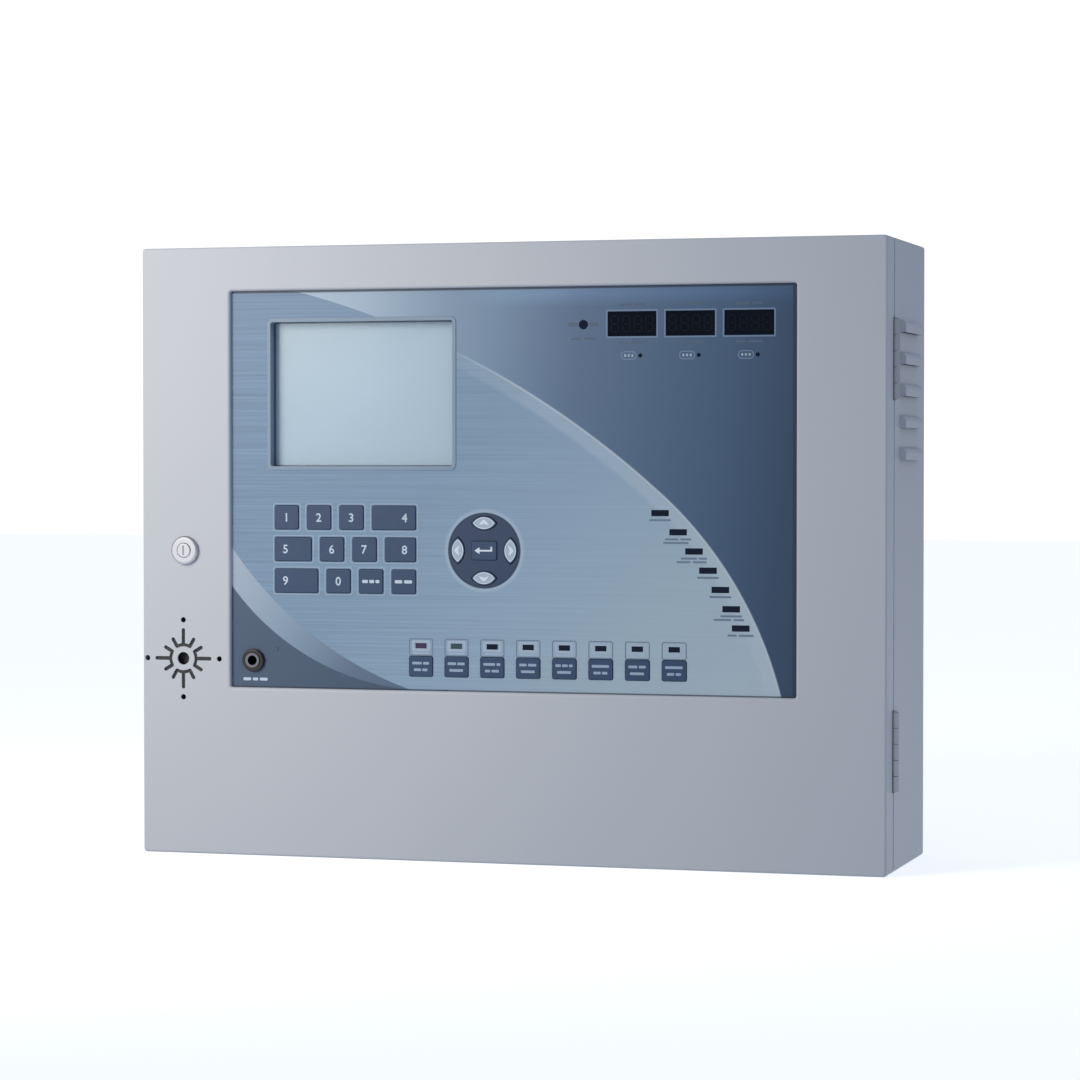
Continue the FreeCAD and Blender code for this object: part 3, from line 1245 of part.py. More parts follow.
def door_panel():
    """Folded tray with a framed window, weld studs, a lock hole and the sounder's grille."""
    door = body("door_panel")
    tray = sketch(door, y=front(DOOR_FLANGE))
    pad(door, rectangle(tray, LEFT, RIGHT, BOTTOM, TOP, FOLD), DOOR_FLANGE)
    fillet(door, FOLD * 0.75, edges_at_y(front(0)))
    hollow = sketch(door, y=front(STEEL))
    rectangle(hollow, LEFT + STEEL, RIGHT - STEEL, BOTTOM + STEEL, TOP - STEEL)
    pocket(door, hollow, DOOR_FLANGE)
    frame = sketch(door, y=front(WINDOW_FLANGE))
    rectangle(frame, WIN_X0 - STEEL, WIN_X1 + STEEL, WIN_Z0 - STEEL, WIN_Z1 + STEEL, CORNER + STEEL)
    pad(door, frame, WINDOW_FLANGE - STEEL / 2)
    opening = sketch(door, y=front(-THROUGH))
    rectangle(opening, WIN_X0, WIN_X1, WIN_Z0, WIN_Z1, CORNER)
    pocket(door, opening, WINDOW_FLANGE + THROUGH * 2)
    fillet(door, WINDOW_FOLD, edges_at_y(front(0), (WIN_X0 - STEEL, WIN_X1 + STEEL,
                                                    WIN_Z0 - STEEL, WIN_Z1 + STEEL)))

    # Weld studs with a shoulder that spaces the display plate from the door's skin
    shoulders = sketch(door, y=front(PLATE_FRONT))
    studs = sketch(door, y=front(PLATE_BACK + STUD_LONG))
    for x, z in STUDS:
        circle(shoulders, STUD_SHOULDER, x, z)
        circle(studs, WINDOW_STUD, x, z)
    pad(door, shoulders, PLATE_FRONT - STEEL / 2)
    pad(door, studs, PLATE + STUD_LONG + STEEL / 2)
    hinge_notches(door, front(DOOR_FLANGE), True)
    hole = sketch(door, y=front(-THROUGH))
    pocket(door, circle(hole, LOCK_BARREL + FIT, LOCK_X, LOCK_Z), STEEL + THROUGH * 2)
    sounder_grille(door)
    return door


ARC_HALF_TURN = 29


def sounder_grille(door):
    """Central hole, long and short rays, an arc across each long ray, and four dots."""
    through = STEEL + THROUGH * 2

    def drawing(turn=0):
        return sketch(door, y=front(-THROUGH), at=(GRILLE_X, GRILLE_Z), turn=turn)

    pocket(door, circle(drawing(), GRILLE_HOLE), through)
    long_ray = drawing()
    short_ray = drawing(30)
    arc = drawing()
    half_turn = math.radians(ARC_HALF_TURN)
    along, across = math.cos(half_turn), math.sin(half_turn)
    inner, outer = GRILLE_ARC_IN, GRILLE_ARC_OUT
    outline(arc, [
        (inner * along, inner * across, -inner), (inner * along, -inner * across),
        (outer * along, -outer * across, outer), (outer * along, outer * across)])
    long_cut = pocket(door, slot(long_ray, GRILLE_START, GRILLE_LONG, GRILLE_RAY), through)
    short_cut = pocket(door, slot(short_ray, GRILLE_START, GRILLE_SHORT, GRILLE_RAY), through)
    arc_cut = pocket(door, arc, through)
    dot_cut = pocket(door, circle(drawing(), GRILLE_DOT, GRILLE_DOT_OUT), through)
    polar(door, [long_cut, arc_cut, dot_cut], long_ray, 4)
    polar(door, [short_cut], short_ray, 12)


def openings(owner, y, length, shapes, at_once=3):
    """Cuts many outlines, a few to a sketch. A shape is a function that draws on a sketch."""
    for k in range(0, len(shapes), at_once):
        drawing = sketch(owner, y=y)
        for shape in shapes[k:k + at_once]:
            shape(drawing)
        pocket(owner, drawing, length)


def box_opening(wide, high, corner, x, z):
    return lambda drawing: centred(drawing, wide, high, corner, x, z)


def round_opening(radius, x, z):
    return lambda drawing: circle(drawing, radius, x, z)


def lens_opening(long, short, upright, x, z):
    return lambda drawing: lens(drawing, long, short, upright, x, z)


def key_openings(owner, y, length, rounded):
    """Openings for the keys, each a moving gap larger than its key all round."""
    corner = KEY_CORNER + GAP if rounded else None
    around = GAP * 2
    shapes = [box_opening(wide + around, KEY_HIGH + around, corner, x, z)
              for _, x, z, wide in DIGIT_KEYS]
    shapes += [box_opening(FUNCTION_WIDE + around, FUNCTION_HIGH + around, corner, x, FUNCTION_Z)
               for x in FUNCTION_X]
    shapes += [lens_opening(ARROW_LONG + around * 2, ARROW_SHORT + around, upright, x, z)
               for _, x, z, upright in ARROW_KEYS]
    shapes.append(box_opening(ENTER_WIDE + around, ENTER_HIGH + around, corner, PAD_X, PAD_Z))
    openings(owner, y, length, shapes)


def display_openings(owner, y, length):
    """Openings for the LCD frame, the digit windows, the lamps and the jack."""
    rim = (BEZEL_WALL + FIT) * 2
    shapes = [box_opening(LCD_WIDE + rim, LCD_HIGH + rim, CORNER + BEZEL_WALL, LCD_X, LCD_Z)]
    shapes += [box_opening(DIGIT_WIDE, DIGIT_HIGH, None, x, z) for x, z in DIGITS]
    shapes.append(round_opening(JACK_NECK + FIT, JACK_X, JACK_Z))
    shapes += [box_opening(LAMP_WIDE, LAMP_HIGH, None, x, z) for x, z in STATUS_LAMPS]
    shapes += [box_opening(FUNCTION_LAMP_WIDE, FUNCTION_LAMP_HIGH, None, x, FUNCTION_LAMP_Z)
               for x in FUNCTION_X]
    shapes += [round_opening(radius, x, z) for radius, spots in ROUND_LAMPS for x, z in spots]
    openings(owner, y, length, shapes)


def display_plate():
    """Steel plate behind the window that carries the overlay, the boards and the jack."""
    plate = body("display_plate")
    flat = sketch(plate, y=front(PLATE_BACK))
    rectangle(flat, WIN_X0 - PLATE_SIDE, WIN_X1 + PLATE_SIDE,
              WIN_Z0 - PLATE_MARGIN, WIN_Z1 + PLATE_MARGIN, PLATE_CORNER)
    pad(plate, flat, PLATE)
    start = front(PLATE_FRONT - THROUGH)
    through = PLATE + THROUGH * 2
    key_openings(plate, start, through, False)
    display_openings(plate, start, through)
    openings(plate, start, through, [round_opening(WINDOW_STUD + FIT, x, z) for x, z in STUDS])
    return plate


def keypad_overlay():
    """Printed film stuck to the front of the display plate."""
    film = body("keypad_overlay")
    flat = sketch(film, y=front(PLATE_FRONT))
    rectangle(flat, WIN_X0 - OVERLAP, WIN_X1 + OVERLAP, WIN_Z0 - OVERLAP, WIN_Z1 + OVERLAP, FOLD)
    pad(film, flat, FILM)
    start = front(FILM_FRONT - THROUGH)
    key_openings(film, start, FILM + THROUGH * 2, True)
    display_openings(film, start, FILM + THROUGH * 2)
    return film


def lcd_bezel():
    """Moulded frame: a thin rim on the overlay and a neck that lines the opening."""
    frame = body("lcd_bezel")
    neck = sketch(frame, y=front(PANE_FRONT))
    centred(neck, LCD_WIDE + BEZEL_WALL * 2, LCD_HIGH + BEZEL_WALL * 2, CORNER + BEZEL_WALL, LCD_X, LCD_Z)
    pad(frame, neck, LCD_RECESS)
    rim = sketch(frame, y=front(FILM_FRONT))
    centred(rim, LCD_WIDE + BEZEL_RIM * 2, LCD_HIGH + BEZEL_RIM * 2, CORNER + BEZEL_RIM, LCD_X, LCD_Z)
    pad(frame, rim, RIM_PROUD)
    fillet(frame, RIM_PROUD * 0.7, edges_at_y(front(FILM_FRONT) - RIM_PROUD))
    hole = sketch(frame, y=front(FILM_FRONT) - RIM_PROUD - THROUGH)
    centred(hole, LCD_WIDE, LCD_HIGH, CORNER, LCD_X, LCD_Z)
    pocket(frame, hole, LCD_RECESS + RIM_PROUD + THROUGH * 2)
    return frame


def lcd_window():
    """Clear pane behind the frame."""
    pane = body("lcd_window")
    flat = sketch(pane, y=front(MODULE_FRONT))
    centred(flat, LCD_WIDE + PANE_MARGIN * 2, LCD_HIGH + PANE_MARGIN * 2, PANE_CORNER, LCD_X, LCD_Z)
    pad(pane, flat, LCD_PANE)
    return pane


def lcd_module():
    """Graphic LCD module with a shallow recess where its glass shows."""
    module = body("lcd_module")
    flat = sketch(module, y=front(MODULE_FRONT + MODULE_DEEP))
    centred(flat, MODULE_WIDE, MODULE_HIGH, PANE_CORNER, LCD_X, LCD_Z)
    pad(module, flat, MODULE_DEEP)
    glass = sketch(module, y=front(MODULE_FRONT - THROUGH))
    centred(glass, LCD_WIDE + GLASS_MARGIN * 2, LCD_HIGH + GLASS_MARGIN * 2, None, LCD_X, LCD_Z)
    pocket(module, glass, THROUGH + GLASS_SUNK)
    return module


def digit_displays():
    """Three digit display modules whose filters fill their openings."""
    clear = FIT * 2
    modules = [block(x - (DIGIT_WIDE - clear) / 2, x + (DIGIT_WIDE - clear) / 2,
                     front(FILM_FRONT + DIGIT_SUNK), front(BOARD_FRONT),
                     z - (DIGIT_HIGH - clear) / 2, z + (DIGIT_HIGH - clear) / 2) for x, z in DIGITS]
    return labelled(group(modules), "digit_displays")


def indicator_leds():
    """Light pipes from the control board to the overlay: bars, key lamps and round lamps."""
    face = front(FILM_FRONT + LAMP_SUNK)
    foot = front(BOARD_FRONT)
    clear = FIT / 2
    pipes = []
    bars = [(x, z, LAMP_WIDE, LAMP_HIGH) for x, z in STATUS_LAMPS]
    bars += [(x, FUNCTION_LAMP_Z, FUNCTION_LAMP_WIDE, FUNCTION_LAMP_HIGH) for x in FUNCTION_X]
    for x, z, wide, high in bars:
        pipes.append(block(x - wide / 2 + clear, x + wide / 2 - clear, face, foot,
                           z - high / 2 + clear, z + high / 2 - clear))
    for radius, spots in ROUND_LAMPS:
        for x, z in spots:
            pipes.append(rod(radius - clear, x, z, front(FILM_FRONT - ROUND_PROUD), foot))
    return labelled(group(pipes), "indicator_leds")


MODULE_Z0 = LCD_Z - MODULE_HIGH / 2
MODULE_X1 = LCD_X + MODULE_WIDE / 2
STANDOFFS = [
    (WIN_X0 + STANDOFF_SIDE, WIN_Z0 + STANDOFF_LOW),
    (WIN_X0 + STANDOFF_SIDE, WIN_Z0 + STANDOFF_HIGH),
    (WIN_X0 + STANDOFF_MIDDLE, WIN_Z0 + STANDOFF_LOW),
    (WIN_X1 - STANDOFF_PAD, WIN_Z0 + STANDOFF_PAD_UP),
    (WIN_X1 - STANDOFF_EDGE, WIN_Z0 + STANDOFF_EDGE),
    (WIN_X1 - STANDOFF_EDGE, WIN_Z0 + STANDOFF_RIGHT_HIGH),
    (WIN_X1 - STANDOFF_EDGE, WIN_Z1 - STANDOFF_TOP),
    (MODULE_X1 + STANDOFF_SIDE, WIN_Z1 - STANDOFF_TOP)]


def control_board():
    """L-shaped board beside and below the LCD module, with a window for the jack."""
    board = body("control_board")
    x0, x1 = WIN_X0 + BOARD_EDGE, WIN_X1 - BOARD_EDGE
    z0, z1 = WIN_Z0 + BOARD_EDGE, WIN_Z1 - BOARD_EDGE
    step_x, step_z = MODULE_X1 + BOARD_STEP, MODULE_Z0 - BOARD_STEP
    flat = sketch(board, y=front(BOARD_BACK))
    outline(flat, [(x0, z0), (x1, z0), (x1, z1), (step_x, z1), (step_x, step_z), (x0, step_z)])
    pad(board, flat, BOARD)
    holes = sketch(board, y=front(BOARD_FRONT - THROUGH))
    for x, z in STANDOFFS:
        circle(holes, BOARD_HOLE, x, z)
    centred(holes, JACK_WIDE + BOARD_EDGE, JACK_HIGH + BOARD_EDGE, None, JACK_X, JACK_Z)
    pocket(board, holes, BOARD + THROUGH * 2)
    return board


def key_switches():
    """One push switch on the board behind each key."""
    switches = []
    for x, z in ALL_KEY_CENTRES:
        face = front(BOARD_FRONT)
        half = SWITCH_WIDE / 2
        top = face - SWITCH_HIGH
        case = block(x - half, x + half, top + SWITCH_CAP_PROUD, face, z - half, z + half)
        switches.append(fuse([case, rod(SWITCH_CAP, x, z, top, top + SWITCH_HIGH / 2)]))
    return labelled(group(switches), "key_switches")


def display_fixings():
    """Nuts on the weld studs, hexagon standoffs and screws of the board, and LCD spacers."""
    pieces = []
    for x, z in STUDS:
        nut = hexagon(STUD_NUT, x, z, front(PLATE_BACK), front(PLATE_BACK + STUD_NUT_THICK))
        hole = rod(WINDOW_STUD + RUNNING, x, z, front(PLATE_FRONT), front(PLATE_BACK + STUD_LONG))
        pieces.append(cut(nut, [hole]))
    for x, z in STANDOFFS:
        pillar = hexagon(STANDOFF, x, z, front(PLATE_BACK), front(BOARD_FRONT))
        shank = rod(BOARD_SCREW, x, z, front(BOARD_FRONT), front(BOARD_BACK))
        head = rod(BOARD_HEAD, x, z, front(BOARD_BACK), front(BOARD_BACK + BOARD_HEAD_HIGH))
        pieces.append(fuse([pillar, shank, head]))
    for side in (-1, 1):
        for end in (-1, 1):
            x = LCD_X + (MODULE_WIDE / 2 - LCD_SPACER_SIDE) * side
            z = LCD_Z + (MODULE_HIGH / 2 - LCD_SPACER_END) * end
            pieces.append(rod(LCD_SPACER, x, z, front(PLATE_BACK), front(MODULE_FRONT)))
    return labelled(group(pieces), "display_fixings")


JACK_FRONT = FILM_FRONT - JACK_PROUD


def jack_socket():
    """Handset jack: a threaded metal neck through the plate and a moulded body behind it."""
    neck = rod(JACK_NECK, JACK_X, JACK_Z, front(JACK_FRONT), front(PLATE_BACK + THROUGH))
    case = block(JACK_X - JACK_WIDE / 2, JACK_X + JACK_WIDE / 2, front(PLATE_BACK),
                 front(JACK_FRONT + JACK_DEEP + JACK_WALL), JACK_Z - JACK_HIGH / 2, JACK_Z + JACK_HIGH / 2)
    bore = rod(JACK_BORE, JACK_X, JACK_Z, front(JACK_FRONT - THROUGH), front(JACK_FRONT + JACK_DEEP))
    return labelled(cut(fuse([neck, case]), [bore]), "jack_socket")


def jack_nut():
    """Round nut on the jack's neck, with a rounded edge."""
    nut = body("jack_nut")
    ring = sketch(nut, y=front(FILM_FRONT))
    pad(nut, circle(ring, JACK_NUT, JACK_X, JACK_Z), JACK_NUT_THICK)
    fillet(nut, CORNER * 2 / 3, edges_at_y(front(FILM_FRONT - JACK_NUT_THICK)))
    hole = sketch(nut, y=front(JACK_FRONT - THROUGH))
    pocket(nut, circle(hole, JACK_NECK + RUNNING, JACK_X, JACK_Z), JACK_PROUD + THROUGH * 2)
    return nut


def sounder():
    """Piezo sounder against the inside of the door, its port behind the grille."""
    case = body("sounder")
    back = sketch(case, y=front(STEEL + SOUNDER_DEEP))
    pad(case, circle(back, SOUNDER, GRILLE_X, GRILLE_Z), SOUNDER_DEEP)
    fillet(case, SOUNDER_ROUND, edges_at_y(front(STEEL + SOUNDER_DEEP)))
    port = sketch(case, y=front(0))
    pocket(case, circle(port, SOUNDER_PORT, GRILLE_X, GRILLE_Z), STEEL + SOUNDER_PORT_DEEP)
    return case


# ---------------------------------------------------------------- lock

BARREL_END = LIP_BACK + CAM_BEHIND_LIP
CAM_FRONT = BARREL_END + GAP
LOCK_FACE = front(0) - LOCK_PROUD
PLUG_FACE = LOCK_FACE - PLUG_PROUD


def lock_body():
    """Cam lock housing: a round head on the door's face and a threaded barrel behind it."""
    housing = body("lock_body")
    barrel = sketch(housing, y=front(BARREL_END))
    pad(housing, circle(barrel, LOCK_BARREL, LOCK_X, LOCK_Z), BARREL_END)
    head = sketch(housing, y=front(0))
    pad(housing, circle(head, LOCK_BARREL + LOCK_RIM, LOCK_X, LOCK_Z), LOCK_PROUD)
    fillet(housing, LOCK_ROUND, edges_at_y(LOCK_FACE))
    bore = sketch(housing, y=LOCK_FACE - THROUGH)
    through = BARREL_END + LOCK_PROUD + THROUGH * 2
    pocket(housing, circle(bore, LOCK_PLUG + RUNNING, LOCK_X, LOCK_Z), through)
    return housing


def lock_nut():
    """Nut that clamps the lock to the door."""
    across = (LOCK_BARREL + LOCK_NUT_RIM) * 2
    nut = hexagon(across, LOCK_X, LOCK_Z, front(STEEL), front(STEEL + LOCK_NUT_THICK))
    hole = rod(LOCK_BARREL + RUNNING, LOCK_X, LOCK_Z, front(0), front(STEEL * 2 + LOCK_NUT_THICK))
    return labelled(cut(nut, [hole]), "lock_nut")


def lock_plug():
    """Turning plug with a domed face, a key slot closed by its shutter, and a square end."""
    plug = body("lock_plug")
    shaft = sketch(plug, y=front(CAM_FRONT))
    pad(plug, circle(shaft, LOCK_PLUG, LOCK_X, LOCK_Z), CAM_FRONT + LOCK_PROUD + PLUG_PROUD)
    fillet(plug, LOCK_PLUG / 5, edges_at_y(PLUG_FACE))
    square = sketch(plug, y=front(CAM_FRONT + CAM_THICK))
    pad(plug, centred(square, PLUG_SQUARE, PLUG_SQUARE, None, LOCK_X, LOCK_Z), CAM_THICK + THROUGH)
    keyway = sketch(plug, y=PLUG_FACE - THROUGH)
    centred(keyway, KEYWAY_WIDE, KEYWAY_HIGH, None, LOCK_X, LOCK_Z)
    pocket(plug, keyway, KEYWAY_DEEP + THROUGH)
    return plug


def lock_cam():
    """Cam on the plug's square end with its screw, pointing up when the lock is open."""
    near, far = front(CAM_FRONT), front(CAM_FRONT + CAM_THICK)
    arm = block(LOCK_X - CAM_HALF, LOCK_X + CAM_HALF, near, far, LOCK_Z - CAM_HALF, LOCK_Z + CAM_REACH)
    half = PLUG_SQUARE / 2 + RUNNING
    hole = block(LOCK_X - half, LOCK_X + half, near - THROUGH, far + THROUGH, LOCK_Z - half, LOCK_Z + half)
    screw = rod(CAM_SCREW, LOCK_X, LOCK_Z, far, far + CAM_SCREW_HIGH)
    return labelled(group([cut(arm, [hole]), screw]), "lock_cam")


# ---------------------------------------------------------------- keys

def key(name, x, z, shape):
    """Key cap with a hidden flange and a stem. shape(drawing, extra) draws its outline."""
    cap = body(name)
    flange_front = FILM + PLATE + GAP
    pad(cap, shape(sketch(cap, y=flange_front), as_size(0)), flange_front + KEY_PROUD)
    fillet(cap, KEY_PROUD / 2, edges_at_y(-KEY_PROUD))
    flange_back = flange_front + FLANGE_THICK
    pad(cap, shape(sketch(cap, y=flange_back), KEY_FLANGE * 2), FLANGE_THICK)
    pad(cap, circle(sketch(cap, y=flange_back + KEY_STEM), STEM), KEY_STEM)
    place(cap, x, front(FILM_FRONT), z)
    return cap


def all_keys():
    keys = []
    for name, x, z, wide in DIGIT_KEYS:
        keys.append(key(name, x, z, lambda drawing, extra, wide=wide:
                        centred(drawing, wide + extra, KEY_HIGH + extra, KEY_CORNER)))
    for name, x, z, upright in ARROW_KEYS:
        keys.append(key(name, x, z, lambda drawing, extra, upright=upright:
                        lens(drawing, ARROW_LONG + extra, ARROW_SHORT + extra, upright)))
    keys.append(key("key_enter", PAD_X, PAD_Z, lambda drawing, extra:
                    centred(drawing, ENTER_WIDE + extra, ENTER_HIGH + extra, KEY_CORNER)))
    for name, x in FUNCTION_KEYS:
        keys.append(key(name, x, FUNCTION_Z, lambda drawing, extra:
                        centred(drawing, FUNCTION_WIDE + extra, FUNCTION_HIGH + extra, KEY_CORNER)))
    return keys


# ---------------------------------------------------------------- build, check and write

def check_features():
    """Stops if an object failed or if a pocket removed nothing."""
    for thing in doc.Objects:
        if "Invalid" in thing.State or "Error" in thing.State:
            raise RuntimeError(f"{thing.Label} failed: {thing.State}")
        if thing.TypeId == "PartDesign::Pocket":
            before = thing.BaseFeature.Shape.Volume
            if thing.Shape.Volume > before - 1e-3:
                raise RuntimeError(f"{thing.Name} cuts nothing")


def write(parts):
    os.makedirs("parts", exist_ok=True)
    for part in parts:
        if part.Shape.isNull() or not part.Shape.isValid():
            raise RuntimeError(f"{part.Label} has no valid shape")
    for part in parts:
        part.Shape.exportStep(f"parts/{part.Label}.step")


PARTS = [
    back_box(), chassis_plate(), chassis_fixings(), main_board(), board_parts(), terminal_blocks(),
    power_supply_case(), power_supply_board(), mains_terminal(), battery("battery_left", -1),
    battery("battery_right", 1), battery_strap(), earth_stud(), cable_grommets(),
    hinge_leaves("hinge_leaves_box", False), hinge_leaves("hinge_leaves_door", True), hinge_pins(),
    door_panel(), display_plate(), keypad_overlay(), lcd_bezel(), lcd_window(), lcd_module(),
    digit_displays(), indicator_leds(), control_board(), key_switches(), display_fixings(),
    jack_socket(), jack_nut(), sounder(), lock_body(), lock_nut(), lock_plug(), lock_cam(),
    *all_keys()]

doc.recompute()
check_features()
write(PARTS)
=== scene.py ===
"""Looks of a wall-mounted fire alarm control panel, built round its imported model, in metres."""
import json
import math

import bpy
import bmesh
from mathutils import Matrix, Vector


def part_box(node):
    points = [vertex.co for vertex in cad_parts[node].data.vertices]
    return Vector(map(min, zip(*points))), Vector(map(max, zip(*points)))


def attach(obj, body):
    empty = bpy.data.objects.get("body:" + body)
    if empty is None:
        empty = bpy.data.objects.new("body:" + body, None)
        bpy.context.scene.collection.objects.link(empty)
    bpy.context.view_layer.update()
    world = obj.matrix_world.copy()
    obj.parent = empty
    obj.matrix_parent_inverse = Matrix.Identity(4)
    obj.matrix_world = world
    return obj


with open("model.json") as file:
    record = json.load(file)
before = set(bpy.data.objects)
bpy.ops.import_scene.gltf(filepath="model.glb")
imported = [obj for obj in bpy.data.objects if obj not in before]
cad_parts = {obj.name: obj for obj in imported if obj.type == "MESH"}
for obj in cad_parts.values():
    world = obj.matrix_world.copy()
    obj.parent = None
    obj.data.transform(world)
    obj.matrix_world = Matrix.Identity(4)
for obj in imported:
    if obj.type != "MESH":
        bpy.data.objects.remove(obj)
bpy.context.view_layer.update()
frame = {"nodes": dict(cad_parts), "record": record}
NODES = frame["nodes"]
SLOT_OF = {part["node"]: part["material_slot"] for part in frame["record"]["subparts"]}
MM = 0.001


# ---------------------------------------------------------------- places, read from the frame

class Box:
    """A box in metres with its middle and its sizes."""

    def __init__(self, low, high):
        self.low, self.high = Vector(low), Vector(high)
        self.middle = (self.low + self.high) / 2
        self.wide, self.deep, self.tall = self.high - self.low


def node_box(name):
    return Box(*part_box(name))


def front_box(name, depth=0.3 * MM):
    """Box of the part of a node that lies within a depth of its front, such as a key's cap."""
    corners = [vertex.co for vertex in NODES[name].data.vertices]
    front = min(corner.y for corner in corners)
    near = [corner for corner in corners if corner.y < front + depth]
    low = [min(corner[axis] for corner in near) for axis in range(3)]
    high = [max(corner[axis] for corner in near) for axis in range(3)]
    return Box(low, high)


class Solid(Box):
    """One separate solid of a CAD node, with the numbers of its faces."""

    def __init__(self, mesh, faces):
        self.faces = faces
        corners = [mesh.vertices[v].co for face in faces for v in mesh.polygons[face].vertices]
        super().__init__([min(corner[axis] for corner in corners) for axis in range(3)],
                         [max(corner[axis] for corner in corners) for axis in range(3)])


def solids(name):
    """The separate solids of a CAD node, found by the corners that faces share."""
    mesh = NODES[name].data
    parent = {}

    def root(place):
        while parent.setdefault(place, place) != place:
            parent[place] = parent[parent[place]]
            place = parent[place]
        return place

    places = [tuple(round(value / MM, 3) for value in vertex.co) for vertex in mesh.vertices]
    for polygon in mesh.polygons:
        first = root(places[polygon.vertices[0]])
        for vertex in polygon.vertices[1:]:
            parent[root(places[vertex])] = first
    groups = {}
    for polygon in mesh.polygons:
        groups.setdefault(root(places[polygon.vertices[0]]), []).append(polygon.index)
    found = [Solid(mesh, faces) for faces in groups.values()]
    return sorted(found, key=lambda solid: (round(solid.middle.x, 4), solid.middle.z))


FILM = node_box("keypad_overlay")
FACE = FILM.low.y
OVERLAP = 3 * MM
WINDOW = Box(FILM.low + Vector((OVERLAP, 0, OVERLAP)), FILM.high - Vector((OVERLAP, 0, OVERLAP)))
LCD = node_box("lcd_bezel")
NAV = front_box("key_enter")
DIGIT_WINDOWS = solids("digit_displays")
LAMPS = solids("indicator_leds")
STATUS_LAMPS = [lamp for lamp in LAMPS if lamp.wide > 10 * MM]
FUNCTION_LAMPS = [lamp for lamp in LAMPS if 6.5 * MM < lamp.wide < 10 * MM]
ROUND_LAMPS = [lamp for lamp in LAMPS if lamp.wide <= 6.5 * MM]
BELL_LAMP = max(ROUND_LAMPS, key=lambda lamp: lamp.wide)
POWER_LAMP = min(ROUND_LAMPS, key=lambda lamp: lamp.middle.x)
ICON_LAMPS = [lamp for lamp in ROUND_LAMPS if lamp not in (BELL_LAMP, POWER_LAMP)]


# ---------------------------------------------------------------- materials

class Field:
    """A number that varies over a surface: one socket of a material, with arithmetic."""

    def __init__(self, paint, socket):
        self.paint, self.socket = paint, socket

    def operate(self, operation, *others, clamp=False):
        node = self.paint.tree.nodes.new("ShaderNodeMath")
        node.operation = operation
        node.use_clamp = clamp
        for place, value in enumerate((self, *others)):
            self.paint.put(node.inputs[place], value)
        return Field(self.paint, node.outputs[0])

    def __add__(self, other):
        return self.operate("ADD", other)

    def __sub__(self, other):
        return self.operate("SUBTRACT", other)

    def __mul__(self, other):
        return self.operate("MULTIPLY", other)

    def __truediv__(self, other):
        return self.operate("DIVIDE", other)

    def __abs__(self):
        return self.operate("ABSOLUTE")

    __radd__ = __add__

    def __rsub__(self, other):
        return self * -1 + other

    def highest(self, other):
        return self.operate("MAXIMUM", other)

    def wave(self, length):
        """0 to 1 and back over each length."""
        return (self * (math.tau / length)).operate("SINE") * 0.5 + 0.5

    def over(self, edge, soft=0.3):
        """0 below the edge and 1 above it, over a soft band."""
        return ((self - edge) / soft).operate("ADD", 0.5, clamp=True)

    def under(self, edge, soft=0.3):
        return 1 - self.over(edge, soft)

    def within(self, low, high, soft=0.3):
        return self.over(low, soft) * self.under(high, soft)


# The places of a mix node's colour sockets, which share their names with its other sockets
MIX_FIRST, MIX_SECOND, MIX_RESULT = 6, 7, 2


